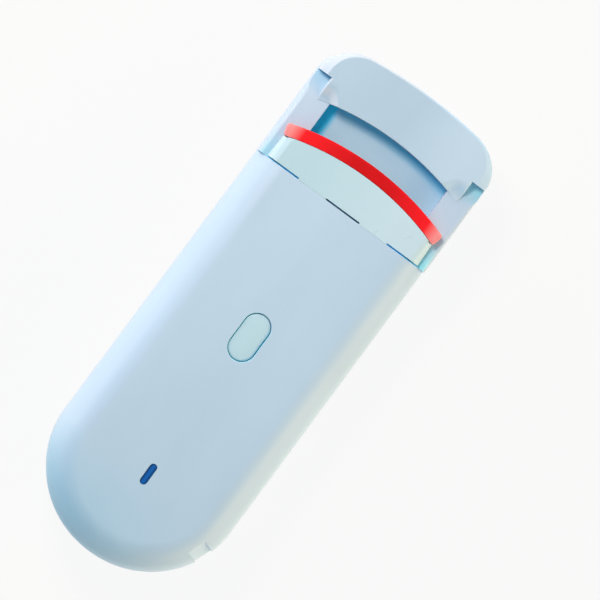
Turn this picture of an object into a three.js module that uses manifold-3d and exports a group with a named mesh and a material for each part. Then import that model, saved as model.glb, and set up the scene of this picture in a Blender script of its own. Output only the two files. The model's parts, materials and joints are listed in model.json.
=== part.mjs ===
// A heated eyelash curler with a capsule-shaped casing, lying on its back.
// Millimetres. +X is the right side seen from the front, +Y runs to the head, and +Z comes out of the
// front face. The origin is the middle of the footprint, on the surface that the curler lies on.
//
// How it works: squeezing the press lever on the back turns it about its pin at the tail. Two wedges on the
// lever push two round noses on the jaw carriage, so the jaw slides up its guide rods and the silicone pad
// meets the lower edge of the head cap. Two coil springs on the rods push the jaw down again.

import * as THREE from "three";
import { mergeVertices } from "three/addons/utils/BufferGeometryUtils.js";
import Module from "manifold-3d";

const wasm = await Module();
wasm.setup();

// ---------------------------------------------------------------- driving dimensions

const length = 104.6;
const halfWidth = 19;
const frontZ = 20; // front face of the casing
const headLength = 26.65; // from the casing's end to the top of the head
const tailRise = 18.2; // height of the half ellipse that closes the tail

const seamY = length / 2 - headLength; // where the casing ends and the head begins
const topY = length / 2;
const tailY = -length / 2;
const tailCentreY = tailY + tailRise;

const partingZ = 10.5; // front shell above, rear shell below
const partingGap = 0.1;
const wall = 1.6;
const frontRound = { across: 6, deep: 6.5 }; // rounding of the casing's front edge
const rearRound = { across: 5, deep: 5 };

// the lever's pin, and how far the lever turns
const pivot = { y: -41, z: 6 };
const leverTurn = THREE.MathUtils.degToRad(5.4);
const rearSlope = Math.tan(leverTurn); // the rear face slopes, so that the squeezed lever lies flush in it

// the head
const frameFrontZ = 17.9;
const frameRearZ = 9.2;
const capFrontZ = 19;
const headRearZ = 6.3;
const windowHalf = 13.45;
const tongueHalf = 16.1; // the middle of the cap reaches down between two notches
const notchY = seamY + 18.7;
const notchLong = 4.4; // the notches' floors slope down towards the cap
const notchDeep = 1.4;
const clampRadius = 56; // of the cap's lower edge and of the pad's top
const capEdgeY = seamY + 16.3; // the cap's lower edge, at its middle
const sillZ = 15.3; // the low front of the frame behind the jaw's legs
const sillTopY = seamY + 5.2;
const heaterSeatZ = 14.4;

// the jaw
const jawTravel = 6;
const padTopY = capEdgeY - jawTravel - 0.15;
const padHeight = 2.5;
const jawHalf = 17.2;
const jawTopHalf = 16.9;
const jawBackZ = 18.1;
const padFrontZ = 19.9;
const jawTopY = padTopY - padHeight;
const jawTopRadius = clampRadius - padHeight;
const leg = { inner: 3.8, outer: 10.05, backZ: 15.6, frontZ: 18.2, endY: 8.5 };
const legMiddle = 7; // of the wedges, the noses and the jaw screws, from the centre line

// the carriage and its rods
const carriage = { half: 14.2, y0: 8.5, y1: 14.5, z0: 12.4, z1: 15.5 };
const rod = { x: 12, z: 13.7, radius: 0.8, y0: 4, y1: 24.9 };
const nose = { y: 10, z: 11.6, radius: 1.3 };
const camGap = 0.2;
const endWallY = 23.6; // inner face of the wall that closes the casing behind the jaw

// the electronics
const boardZ = 14.4;
const boardTop = 15.4;
const buttonY = seamY - 28.6;
const buttonTop = 19.85;
const indicatorY = seamY - 59.7;
const portHalf = { x: 4.47, z: 1.6 };
const portZ = 12.72;

const casingScrews = [
  [14.2, 1.5],
  [12.6, -33],
];
const frameScrewAt = [14.2, 22.4];
const headScrewAt = [11, 48.2];

// ---------------------------------------------------------------- colours of the parts

const paint = (color, roughness, metalness = 0) =>
  new THREE.MeshStandardMaterial({ color, roughness, metalness });

const shellBlue = paint(0xb9d2e2, 0.42);
const mint = paint(0xc2e0e4, 0.3);
const siliconeRed = paint(0xe3202c, 0.45);
const deepBlue = paint(0x123f86, 0.15);
const heaterBlue = paint(0x86aecb, 0.35, 0.4);
const steel = paint(0xb8bcc2, 0.28, 1);
const nylon = paint(0xeceeee, 0.5);
const gripBlue = paint(0x8fb3c9, 0.75);
const boardGreen = paint(0x1f5a3d, 0.5);
const chipBlack = paint(0x1b1c1f, 0.45);
const cellSilver = paint(0x9fa6ad, 0.35, 0.6);
const ceramic = paint(0xf1efe8, 0.55);
const foamGrey = paint(0x4a4d52, 0.95);
const leadRed = paint(0xc2272d, 0.5);
const leadBlack = paint(0x232427, 0.5);

// ---------------------------------------------------------------- solids

function toSolid(geometry) {
  const bare = geometry.clone();
  bare.deleteAttribute("normal");
  bare.deleteAttribute("uv");
  const merged = mergeVertices(bare, 1e-4);
  const mesh = new wasm.Mesh({
    numProp: 3,
    vertProperties: merged.attributes.position.array,
    triVerts: new Uint32Array(merged.index.array),
  });
  return new wasm.Manifold(mesh);
}

function toGeometry(solid) {
  const mesh = solid.getMesh();
  const geometry = new THREE.BufferGeometry();
  const position = new THREE.BufferAttribute(new Float32Array(mesh.vertProperties), 3);
  geometry.setAttribute("position", position);
  geometry.setIndex(new THREE.BufferAttribute(new Uint32Array(mesh.triVerts), 1));
  geometry.computeVertexNormals();
  return geometry;
}

const join = (...solids) => solids.reduce((a, b) => a.add(b));
const cut = (solid, ...tools) => tools.reduce((a, b) => a.subtract(b), solid);
const common = (...solids) => solids.reduce((a, b) => a.intersect(b));

function box(x0, x1, y0, y1, z0, z1) {
  const geometry = new THREE.BoxGeometry(x1 - x0, y1 - y0, z1 - z0);
  geometry.translate((x0 + x1) / 2, (y0 + y1) / 2, (z0 + z1) / 2);
  return toSolid(geometry);
}

// The same box on the right and on the left of the centre line.
const boxPair = (inner, outer, ...rest) =>
  join(box(inner, outer, ...rest), box(-outer, -inner, ...rest));

// A cylinder along an axis ("x", "y" or "z") between two heights, through the point (a, b) across it.
function cylinder(axis, radius, a, b, from, to, sides = 24) {
  const geometry = new THREE.CylinderGeometry(radius, radius, to - from, sides);
  geometry.translate(0, (from + to) / 2, 0);
  if (axis === "x") geometry.rotateZ(-Math.PI / 2).translate(0, a, b);
  if (axis === "y") geometry.translate(a, 0, b);
  if (axis === "z") geometry.rotateX(Math.PI / 2).translate(a, b, 0);
  return toSolid(geometry);
}

// A flat outline drawn in X and Y, from one height to another.
function prism(shape, z0, z1, curveSegments = 8) {
  const settings = { depth: z1 - z0, bevelEnabled: false, curveSegments };
  return toSolid(new THREE.ExtrudeGeometry(shape, settings).translate(0, 0, z0));
}

// The same, with both of its rims rounded.
function pillow(shape, z0, z1, round, curveSegments = 12, bevelSegments = 3) {
  const settings = {
    depth: z1 - z0 - 2 * round.deep,
    bevelEnabled: true,
    bevelSize: round.across,
    bevelOffset: -round.across,
    bevelThickness: round.deep,
    bevelSegments,
    curveSegments,
  };
  return toSolid(new THREE.ExtrudeGeometry(shape, settings).translate(0, 0, z0 + round.deep));
}

// An outline drawn as [y, z] points, as wide as x0 to x1.
function sideProfile(points, x0, x1) {
  const shape = new THREE.Shape(points.map(([y, z]) => new THREE.Vector2(y, z)));
  const geometry = new THREE.ExtrudeGeometry(shape, { depth: x1 - x0, bevelEnabled: false });
  geometry.rotateY(Math.PI / 2).rotateX(Math.PI / 2).translate(x0, 0, 0);
  return toSolid(geometry);
}

// An outline drawn as [x, z] points, as long as y0 to y1.
function endProfile(points, y0, y1) {
  const shape = new THREE.Shape(points.map(([x, z]) => new THREE.Vector2(x, z)));
  const geometry = new THREE.ExtrudeGeometry(shape, { depth: y1 - y0, bevelEnabled: false });
  geometry.rotateX(Math.PI / 2).translate(0, y1, 0);
  return toSolid(geometry);
}

// ---------------------------------------------------------------- outlines in plan

const sides = [
  ["right", 1],
  ["left", -1],
];

// The casing: straight sides, and half an ellipse round the tail.
function casingOutline(inset, endY) {
  const shape = new THREE.Shape();
  const across = halfWidth - inset;
  shape.moveTo(across, endY);
  shape.lineTo(-across, endY);
  shape.lineTo(-across, tailCentreY);
  shape.absellipse(0, tailCentreY, across, tailRise - inset, Math.PI, 2 * Math.PI, false, 0);
  shape.closePath();
  return shape;
}

// The rounded shoulders and the crowned top of the head, from its right side to its left.
const crownRadius = 95;
const crownHalf = 12.5;
function drawHeadTop(shape, inset) {
  const side = halfWidth - inset;
  const top = topY - inset;
  const crownDrop = crownRadius - Math.sqrt(crownRadius ** 2 - crownHalf ** 2);
  const turn = Math.asin(crownHalf / crownRadius);
  const shoulder = crownHalf + 4.2 - inset / 2;
  const [start, rise, bend] = [top - 7.8, top - 4.7, top - 1.75];
  shape.lineTo(side, start);
  shape.bezierCurveTo(side, rise, shoulder, bend, crownHalf, top - crownDrop);
  shape.absarc(0, top - crownRadius, crownRadius, Math.PI / 2 - turn, Math.PI / 2 + turn, false);
  shape.bezierCurveTo(-shoulder, bend, -side, rise, -side, start);
}

function headOutline(inset, startY) {
  const shape = new THREE.Shape();
  shape.moveTo(halfWidth - inset, startY);
  drawHeadTop(shape, inset);
  shape.lineTo(-halfWidth + inset, startY);
  shape.closePath();
  return shape;
}

const arcDrop = (radius, x) => radius - Math.sqrt(radius ** 2 - x ** 2);

// An arc over the centre line, from x = -half to x = half, whose middle is at the height y.
function arcAcross(shape, radius, y, half, leftToRight) {
  const turn = Math.asin(half / radius);
  const [from, to] = leftToRight ? [turn, -turn] : [-turn, turn];
  shape.absarc(0, y - radius, radius, Math.PI / 2 + from, Math.PI / 2 + to, leftToRight);
}

function roundedRectangle(x0, x1, y0, y1, radius) {
  const shape = new THREE.Shape();
  shape.moveTo(x1 - radius, y1);
  shape.lineTo(x0 + radius, y1);
  shape.absarc(x0 + radius, y1 - radius, radius, Math.PI / 2, Math.PI, false);
  shape.absarc(x0 + radius, y0 + radius, radius, Math.PI, 1.5 * Math.PI, false);
  shape.absarc(x1 - radius, y0 + radius, radius, 1.5 * Math.PI, 2 * Math.PI, false);
  shape.absarc(x1 - radius, y1 - radius, radius, 0, Math.PI / 2, false);
  return shape;
}

// A slot-shaped outline with half circles at both of its ends.
function stadium(half, y0, y1) {
  const shape = new THREE.Shape();
  shape.absarc(0, y1 - half, half, 0, Math.PI, false);
  shape.absarc(0, y0 + half, half, Math.PI, 2 * Math.PI, false);
  shape.closePath();
  return shape;
}

// ---------------------------------------------------------------- nodes

const curler = new THREE.Group();

function addNode(name, solid, material) {
  const mesh = new THREE.Mesh(toGeometry(solid), material);
  mesh.name = name;
  curler.add(mesh);
}

// ---------------------------------------------------------------- casing

const buttonHalf = 2.62;
const buttonLong = 9.7;
const indicatorHalf = 0.67;
const indicatorLong = 4.3;
const slideFit = 0.07; // gap round the button and the indicator lens

const buttonShape = (grow) =>
  stadium(buttonHalf + grow, buttonY - buttonLong / 2 - grow, buttonY + buttonLong / 2 + grow);
const indicatorShape = (grow) =>
  stadium(
    indicatorHalf + grow,
    indicatorY - indicatorLong / 2 - grow,
    indicatorY + indicatorLong / 2 + grow,
  );

// The strap notch in the right side of the tail: a slanting facet, and a slot behind it with a bar across.
const strap = { x: 17.5, y: -40.6, turn: THREE.MathUtils.degToRad(-21) };
const strapBar = { x: 16.1, y: -40.06, z0: 8.85, z1: 14.35, radius: 0.6 };
const placeAtStrap = (geometry) =>
  toSolid(geometry.rotateZ(strap.turn).translate(strap.x, strap.y, 0));

function strapBlock() {
  const block = new THREE.BoxGeometry(5.6, 7, 8).translate(-1.8, 0, 12);
  return common(placeAtStrap(block), prism(casingOutline(0.8, 0), 0, 30));
}

function strapCutter() {
  const slot = new THREE.BoxGeometry(7, 3.6, 4.2).translate(0.5, 0, 11.6);
  const facet = new THREE.BoxGeometry(8, 3.8, 12).translate(4, 0, 0);
  facet.rotateY(-0.42).translate(-0.7, 0, 14.9);
  const { x, y, z0, z1, radius } = strapBar;
  const sockets = cylinder("z", radius + 0.04, x, y, z0 - 0.05, z1 + 0.05, 16);
  return join(placeAtStrap(slot), placeAtStrap(facet), sockets);
}

const portCutter = () =>
  prism(
    roundedRectangle(-portHalf.x - 0.2, portHalf.x + 0.2, -portHalf.z - 0.2, portHalf.z + 0.2, 1.7),
    0,
    12,
    4,
  );

function standUp(solid, y, z) {
  // turns a solid drawn in X and Y so that its thickness runs along Y
  return solid.rotate([90, 0, 0]).translate([0, y, z]);
}

function frontShell() {
  const outer = pillow(casingOutline(0, seamY + 12), -10, frontZ, frontRound, 18, 5);
  const innerRound = { across: frontRound.across - 1, deep: frontRound.deep - 1 };
  const inner = pillow(casingOutline(wall, seamY + 14), -12, frontZ - wall, innerRound, 14, 3);
  const keep = box(-30, 30, -60, seamY, partingZ + partingGap, 30);
  const bosses = casingScrews.flatMap(([x, y]) =>
    [x, -x].map((at) => cylinder("z", 2, at, y, partingZ + 0.2, frontZ - wall + 0.3, 16)),
  );
  const pilots = casingScrews.flatMap(([x, y]) =>
    [x, -x].map((at) => cylinder("z", 0.7, at, y, 9, 16.2, 12)),
  );
  const boardPosts = [-25, -2].flatMap((y) =>
    [9.2, -9.2].map((at) => cylinder("z", 0.9, at, y, boardTop + 0.05, frontZ - wall + 0.3, 12)),
  );
  const rodBlocks = boxPair(rod.x - 1.7, rod.x + 1.7, 3.6, 6.6, rod.z - 1.6, frontZ - wall + 0.3);
  const rodHoles = [rod.x, -rod.x].map((x) => cylinder("y", rod.radius + 0.03, x, rod.z, 4, 8, 16));
  const body = join(cut(outer, inner), ...bosses, ...boardPosts, rodBlocks, strapBlock());
  return cut(
    common(body, keep),
    ...pilots,
    ...rodHoles,
    prism(buttonShape(slideFit), 17, 25, 8),
    prism(indicatorShape(0.06), 17, 25, 8),
    standUp(portCutter(), tailY + 6, portZ),
    strapCutter(),
  );
}

// Turns a solid drawn on the level to lie along the sloping rear face.
const onSlope = (solid) =>
  solid
    .translate([0, -pivot.y, 0])
    .rotate([THREE.MathUtils.radToDeg(leverTurn), 0, 0])
    .translate([0, pivot.y, 0]);

const rearFaceZ = (y) => Math.max(0, rearSlope * (y - pivot.y));

const lever = { half: 11, y0: -44, y1: 17.5, thick: 2.2, corner: 5 };
const wellFit = 0.4;
const wellDepth = 2.7;
const wellFloor = 1.2;
const ear = { inner: 7.9, outer: 9.9, radius: 2.2 };
const wedge = { inner: legMiddle - 2, outer: legMiddle + 2 };

function rearShell() {
  const level = pillow(casingOutline(0, seamY + 12), 0, 40, rearRound, 18, 4);
  const sloped = onSlope(pillow(casingOutline(-0.6, seamY + 14), 0, 40, rearRound, 18, 4));
  const innerRound = { across: rearRound.across - 1.2, deep: rearRound.deep - 1.2 };
  const innerLevel = pillow(casingOutline(wall, seamY + 14), wall, 44, innerRound, 14, 3);
  const innerSloped = onSlope(
    pillow(casingOutline(wall - 0.6, seamY + 16), wall, 44, innerRound, 14, 3),
  );
  const keep = box(-30, 30, -60, seamY, -1, partingZ);
  const grow = wellFit + 1.4;
  const tub = onSlope(
    prism(
      roundedRectangle(-lever.half - grow, lever.half + grow, lever.y0 - 1.9, lever.y1 + 2.1, 5.5),
      0.2,
      wellDepth + wellFloor,
      6,
    ),
  );
  const well = onSlope(
    prism(
      roundedRectangle(-lever.half - wellFit, lever.half + wellFit, lever.y0 - 0.5, lever.y1 + 0.7, 5),
      -6,
      wellDepth,
      8,
    ),
  );
  const tubInside = common(tub, level, sloped);
  const pinBlocks = boxPair(11.6, 15, pivot.y - 2.2, pivot.y + 2.2, 1.2, pivot.z + 2.2);
  const bosses = casingScrews.flatMap(([x, y]) =>
    [x, -x].map((at) => cylinder("z", 2.2, at, y, rearFaceZ(y) + 1, partingZ - 0.1, 16)),
  );
  const holes = casingScrews.flatMap(([x, y]) =>
    [x, -x].flatMap((at) => [
      cylinder("z", 0.95, at, y, -2, 12, 12),
      cylinder("z", 1.8, at, y, -2, rearFaceZ(y) + 1.5, 16),
    ]),
  );
  const [frameX, frameY] = frameScrewAt;
  const frameHoles = [frameX, -frameX].flatMap((at) => [
    cylinder("z", 0.95, at, frameY, 2, 12, 12),
    cylinder("z", 1.8, at, frameY, 2, rearFaceZ(frameY) + 1, 16),
  ]);
  const body = join(
    cut(common(level, sloped), common(innerLevel, innerSloped)),
    tubInside,
    pinBlocks,
    strapBlock(),
    ...bosses,
  );
  return cut(
    common(body, keep),
    well,
    boxPair(wedge.inner - 0.4, wedge.outer + 0.4, 3.2, lever.y1 + 0.4, 0, 12),
    boxPair(ear.inner - 0.3, ear.outer + 0.3, pivot.y - 2.9, pivot.y + 2.9, 0, 9),
    cylinder("x", 1.03, pivot.y, pivot.z, -14.6, 14.6, 20),
    ...holes,
    ...frameHoles,
    strapCutter(),
  );
}

addNode("front_shell", frontShell(), shellBlue);
addNode("rear_shell", rearShell(), shellBlue);
addNode(
  "strap_bar",
  cylinder("z", strapBar.radius, strapBar.x, strapBar.y, strapBar.z0, strapBar.z1, 16),
  steel,
);

// ---------------------------------------------------------------- head

function headFrame() {
  const rim = { across: 1, deep: 1 };
  const plate = pillow(headOutline(0, seamY - 6), frameRearZ - 4, frameFrontZ, rim, 8, 3);
  const above = common(plate, box(-30, 30, seamY + 0.05, 80, frameRearZ, 30));
  const base = box(-17, 17, 20, seamY - 0.05, 8.1, 11.6);
  const endWall = box(-17, 17, endWallY, seamY - 0.05, 8.1, leg.frontZ - 0.1);
  const neck = box(-17, 17, endWallY, seamY + 1, frameRearZ, frameFrontZ - 1);
  const legPassages = boxPair(leg.inner - 0.2, leg.outer + 0.2, 15, seamY + 2, 15.4, 25);
  const casingInside = pillow(
    casingOutline(wall + 0.2, seamY + 9),
    -12,
    frontZ - wall - 0.2,
    { across: 5.2, deep: 5.7 },
  );
  const rearInside = onSlope(
    pillow(casingOutline(wall - 0.4, seamY + 16), wall + 0.2, 44, { across: 4.2, deep: 4.2 }),
  );
  const root = common(join(base, endWall, neck), casingInside, rearInside);
  const opening = new THREE.Shape();
  opening.moveTo(windowHalf, sillTopY);
  opening.lineTo(windowHalf, capEdgeY - arcDrop(clampRadius, windowHalf));
  arcAcross(opening, clampRadius, capEdgeY, windowHalf, false);
  opening.lineTo(-windowHalf, sillTopY);
  opening.closePath();
  const sill = box(-windowHalf, windowHalf, seamY - 3, sillTopY + 0.1, sillZ, 25);
  const heaterPocket = box(-15, 15, sillTopY - 1.6, capEdgeY + 1.4, 0, heaterSeatZ);
  const leadChannel = box(-4, 4, 19, sillTopY, 9.8, 12.4);
  const pocket = [
    [notchY - notchLong, frameFrontZ + 0.01],
    [notchY, frameFrontZ - notchDeep],
    [notchY, frontZ],
    [notchY - notchLong, frontZ],
  ];
  const notches = [sideProfile(pocket, tongueHalf, 20), sideProfile(pocket, -20, -tongueHalf)];
  const rodHoles = [rod.x, -rod.x].map((x) => cylinder("y", rod.radius + 0.03, x, rod.z, 20, 25.1, 16));
  const [frameX, frameY] = frameScrewAt;
  const pilots = [frameX, -frameX].map((x) => cylinder("z", 0.7, x, frameY, 7, 11.2, 12));
  const [headX, headY] = headScrewAt;
  const clearances = [headX, -headX].map((x) => cylinder("z", 0.95, x, headY, 0, 30, 12));
  return cut(
    join(above, root),
    prism(opening, 0, 30, 8),
    common(sill, box(-30, 30, seamY - 1.95, 80, 0, 30)),
    legPassages,
    heaterPocket,
    leadChannel,
    ...notches,
    ...rodHoles,
    ...pilots,
    ...clearances,
  );
}

function headCap() {
  const shape = new THREE.Shape();
  shape.moveTo(tongueHalf, notchY);
  shape.lineTo(halfWidth, notchY);
  drawHeadTop(shape, 0);
  shape.lineTo(-halfWidth, notchY);
  shape.lineTo(-tongueHalf, notchY);
  shape.lineTo(-tongueHalf, capEdgeY - arcDrop(clampRadius, tongueHalf));
  arcAcross(shape, clampRadius, capEdgeY, tongueHalf, true);
  shape.closePath();
  const z0 = frameFrontZ + 0.05;
  const section = [
    [-halfWidth, z0 - 1],
    [halfWidth, z0 - 1],
    [halfWidth, z0 + 0.3],
    [halfWidth - 0.6, z0 + 0.7],
    [halfWidth - 1.85, capFrontZ],
    [-halfWidth + 1.85, capFrontZ],
    [-halfWidth + 0.6, z0 + 0.7],
    [-halfWidth, z0 + 0.3],
  ];
  const [headX, headY] = headScrewAt;
  const pilots = [headX, -headX].map((x) => cylinder("z", 0.7, x, headY, 10, 18.4, 12));
  const panel = common(prism(shape, z0, capFrontZ, 8), endProfile(section, 0, 80));
  return cut(panel, ...tongueRamps(z0), ...pilots);
}

// Beside the window, the lower corners of the cap run down to the arms instead of ending in a step.
function tongueRamps(z0) {
  const x = (windowHalf + tongueHalf) / 2;
  const y = capEdgeY - arcDrop(clampRadius, x);
  return sides.map(([, side]) => {
    const ramp = new THREE.BoxGeometry(3.1, 8, 4).translate(0.1, 4, 2);
    ramp.translate(0, -3, 0).rotateX(0.34).rotateZ(-Math.asin(x / clampRadius));
    const solid = toSolid(ramp.translate(x, y, z0 + 0.12));
    return side > 0 ? solid : solid.mirror([1, 0, 0]);
  });
}

function headBackCover() {
  const shape = headOutline(0, seamY - 8);
  const round = { across: 4, deep: 2.7 };
  const keep = box(-30, 30, seamY + 0.1, 80, 0, frameRearZ - 0.05);
  const body = common(pillow(shape, headRearZ, 30, round, 8, 3), keep);
  const hollow = box(-14.6, 14.6, seamY + 4, capEdgeY + 1, 7.9, 12);
  const [headX, headY] = headScrewAt;
  const holes = [headX, -headX].flatMap((x) => [
    cylinder("z", 0.95, x, headY, 0, 12, 12),
    cylinder("z", 1.75, x, headY, 0, headRearZ + 1, 20),
  ]);
  return cut(body, hollow, ...holes);
}

addNode("head_frame", headFrame(), shellBlue);
addNode("head_cap", headCap(), shellBlue);
addNode("head_back_cover", headBackCover(), shellBlue);

const heaterY = { y0: sillTopY - 1.4, y1: capEdgeY + 1.2 };
const heaterMiddle = (heaterY.y0 + heaterY.y1) / 2;
addNode("heater_plate", box(-14.8, 14.8, heaterY.y0, heaterY.y1, 13.75, heaterSeatZ - 0.02), heaterBlue);
addNode(
  "heater_element",
  prism(roundedRectangle(-11, 11, heaterMiddle - 3.4, heaterMiddle + 3.4, 0.8), 12.5, 13.7, 4),
  ceramic,
);
addNode(
  "heater_insulator",
  prism(roundedRectangle(-13.6, 13.6, heaterMiddle - 5.2, heaterMiddle + 5.2, 1.5), 9.4, 11.2, 4),
  foamGrey,
);
addNode("temperature_sensor", box(-1.2, 1.2, heaterMiddle + 3.7, heaterMiddle + 5.2, 12.6, 13.6), chipBlack);

// ---------------------------------------------------------------- jaw

function jawPlate() {
  const y0 = seamY + 0.3;
  const shape = new THREE.Shape();
  shape.moveTo(jawHalf, y0);
  shape.lineTo(jawTopHalf, jawTopY - arcDrop(jawTopRadius, jawTopHalf));
  arcAcross(shape, jawTopRadius, jawTopY, jawTopHalf, false);
  shape.lineTo(-jawHalf, y0);
  shape.closePath();
  const section = [
    [-jawHalf, jawBackZ],
    [jawHalf, jawBackZ],
    [jawHalf, jawBackZ + 0.4],
    [jawHalf - 0.6, jawBackZ + 1.2],
    [jawHalf - 1.9, frontZ],
    [-jawHalf + 1.9, frontZ],
    [-jawHalf + 0.6, jawBackZ + 1.2],
    [-jawHalf, jawBackZ + 0.4],
  ];
  const plate = common(prism(shape, jawBackZ, frontZ, 10), endProfile(section, 0, 60));
  const legs = boxPair(leg.inner, leg.outer, leg.endY, sillTopY, leg.backZ, leg.frontZ);
  const tabs = boxPair(leg.inner, leg.outer, seamY + 0.06, y0 + 0.5, jawBackZ, frontZ);
  const holes = sides.flatMap(([, side]) => [
    cylinder("z", 0.75, side * legMiddle, 11.5, 14, 20, 12),
    cylinder("z", 1.5, side * legMiddle, 11.5, 17.1, 20, 20),
  ]);
  return cut(join(plate, legs, tabs), padRib(0.08, 1.4), ...holes);
}

// The rib under the pad, or with some growth the groove that it is pressed into.
function padRib(grow, depth) {
  const half = 15.2 + grow;
  const shape = new THREE.Shape();
  shape.moveTo(half, jawTopY - arcDrop(jawTopRadius, half) + 0.6);
  arcAcross(shape, jawTopRadius + 0.6, jawTopY + 0.6, half, false);
  shape.lineTo(-half, jawTopY - arcDrop(jawTopRadius, half) - depth);
  arcAcross(shape, jawTopRadius - depth, jawTopY - depth, half, true);
  shape.closePath();
  return prism(shape, 18.6 - grow, 19.4 + grow, 10);
}

function siliconePad() {
  const shape = new THREE.Shape();
  const [topHalf, lowHalf, seat] = [17.65, 17, 0.05];
  shape.moveTo(topHalf, padTopY - arcDrop(clampRadius, topHalf));
  arcAcross(shape, clampRadius, padTopY, topHalf, false);
  shape.lineTo(-lowHalf, jawTopY + seat - arcDrop(jawTopRadius, lowHalf));
  arcAcross(shape, jawTopRadius, jawTopY + seat, lowHalf, true);
  shape.closePath();
  const band = pillow(shape, jawBackZ + 0.05, padFrontZ, { across: 0.3, deep: 0.3 }, 10, 2);
  return join(band, padRib(0, 1.25));
}

addNode("jaw_plate", jawPlate(), mint);
addNode("silicone_pad", siliconePad(), siliconeRed);

function jawCarriage() {
  const { half, y0, y1, z0, z1 } = carriage;
  const noses = sides.map(([, side]) =>
    cylinder("x", nose.radius, nose.y, nose.z, side * legMiddle - 1.9, side * legMiddle + 1.9, 32),
  );
  const noseBlocks = boxPair(wedge.inner + 0.1, wedge.outer - 0.1, nose.y, 13.5, 10.6, z0 + 0.2);
  const bores = [rod.x, -rod.x].map((x) => cylinder("y", rod.radius + 0.1, x, rod.z, 0, 30, 24));
  const pilots = sides.map(([, side]) => cylinder("z", 0.5, side * legMiddle, 11.5, 12.8, 20, 12));
  return cut(join(box(-half, half, y0, y1, z0, z1), noseBlocks, ...noses), ...bores, ...pilots);
}
addNode("jaw_carriage", jawCarriage(), nylon);

// A coil spring with ground ends, round a rod.
function coilSpring(x) {
  const coil = { radius: 1.35, wire: 0.2, turns: 6, y0: carriage.y1 + 0.15, y1: endWallY - 0.15 };
  class Helix extends THREE.Curve {
    getPoint(t, target = new THREE.Vector3()) {
      const angle = 2 * Math.PI * coil.turns * t;
      const y = THREE.MathUtils.lerp(coil.y0 + coil.wire, coil.y1 - coil.wire, t);
      return target.set(x + coil.radius * Math.cos(angle), y, rod.z + coil.radius * Math.sin(angle));
    }
  }
  const section = new THREE.Shape().absarc(0, 0, coil.wire, 0, 2 * Math.PI, false);
  const settings = { steps: coil.turns * 9, extrudePath: new Helix(), curveSegments: 3 };
  return toSolid(new THREE.ExtrudeGeometry(section, settings));
}

for (const [side, sign] of sides) {
  const x = sign * rod.x;
  addNode(`guide_rod_${side}`, cylinder("y", rod.radius, x, rod.z, rod.y0 + 0.1, rod.y1 + 0.1, 20), steel);
  addNode(`return_spring_${side}`, coilSpring(x), steel);
}

// ---------------------------------------------------------------- lever

// Where a point goes when the lever turns back from its full travel, as [y, z].
function beforeTurn([y, z]) {
  const [dy, dz] = [y - pivot.y, z - pivot.z];
  const [c, s] = [Math.cos(leverTurn), Math.sin(leverTurn)];
  return [pivot.y + dy * c + dz * s, pivot.z - dy * s + dz * c];
}

// The ramp touches the nose at rest and again, after both have moved, at the end of the travel.
function wedgeProfile() {
  const from = [nose.y, nose.z];
  const to = beforeTurn([nose.y + jawTravel, nose.z]);
  const run = new THREE.Vector2(to[0] - from[0], to[1] - from[1]).normalize();
  const away = new THREE.Vector2(run.y, -run.x).multiplyScalar(nose.radius + camGap);
  const ramp = (point, on) => [point[0] + away.x + on * run.x, point[1] + away.y + on * run.y];
  const high = ramp(from, -1.1);
  const low = ramp(to, 1);
  return [
    [high[0] - 2.6, 1.5],
    [high[0] - 2.6, high[1] - 0.4],
    [high[0] - 2.2, high[1]],
    high,
    low,
    [low[0], 1.5],
  ];
}

const gripShape = (grow) => roundedRectangle(-7 - grow, 7 + grow, -14 - grow, 12 + grow, 3.5);
const gripDepth = 0.8;

function pressLever() {
  const { half, y0, y1, thick, corner } = lever;
  const plate = common(
    pillow(roundedRectangle(-half, half, y0, y1, corner), 0, 20, { across: 0.9, deep: 0.9 }, 4, 3),
    box(-half, half, y0, y1, 0, thick),
  );
  const earSolids = sides.flatMap(([, side]) => {
    const [x0, x1] = side > 0 ? [ear.inner, ear.outer] : [-ear.outer, -ear.inner];
    return [
      cylinder("x", ear.radius, pivot.y, pivot.z, x0, x1, 28),
      box(x0, x1, pivot.y - 2, pivot.y + 2, thick - 0.4, pivot.z),
    ];
  });
  const profile = wedgeProfile();
  const wedges = [
    sideProfile(profile, wedge.inner, wedge.outer),
    sideProfile(profile, -wedge.outer, -wedge.inner),
  ];
  return cut(
    join(plate, ...earSolids, ...wedges),
    cylinder("x", 1.06, pivot.y, pivot.z, -20, 20, 24),
    prism(gripShape(0.1), -1, gripDepth, 6),
  );
}

// The soft thumb pad, let into the lever, with shallow ribs across it.
function leverGrip() {
  const pad = prism(gripShape(0), 0.3, gripDepth - 0.05, 6);
  const ribs = [];
  for (let y = -11; y <= 9; y += 2.5) ribs.push(box(-5.4, 5.4, y, y + 1.1, 0.1, 0.5));
  return join(pad, ...ribs);
}

addNode("press_lever", pressLever(), shellBlue);
addNode("lever_grip", leverGrip(), gripBlue);
addNode("hinge_pin", cylinder("x", 1, pivot.y, pivot.z, -14.4, 14.4, 20), steel);

// ---------------------------------------------------------------- button and indicator

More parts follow.
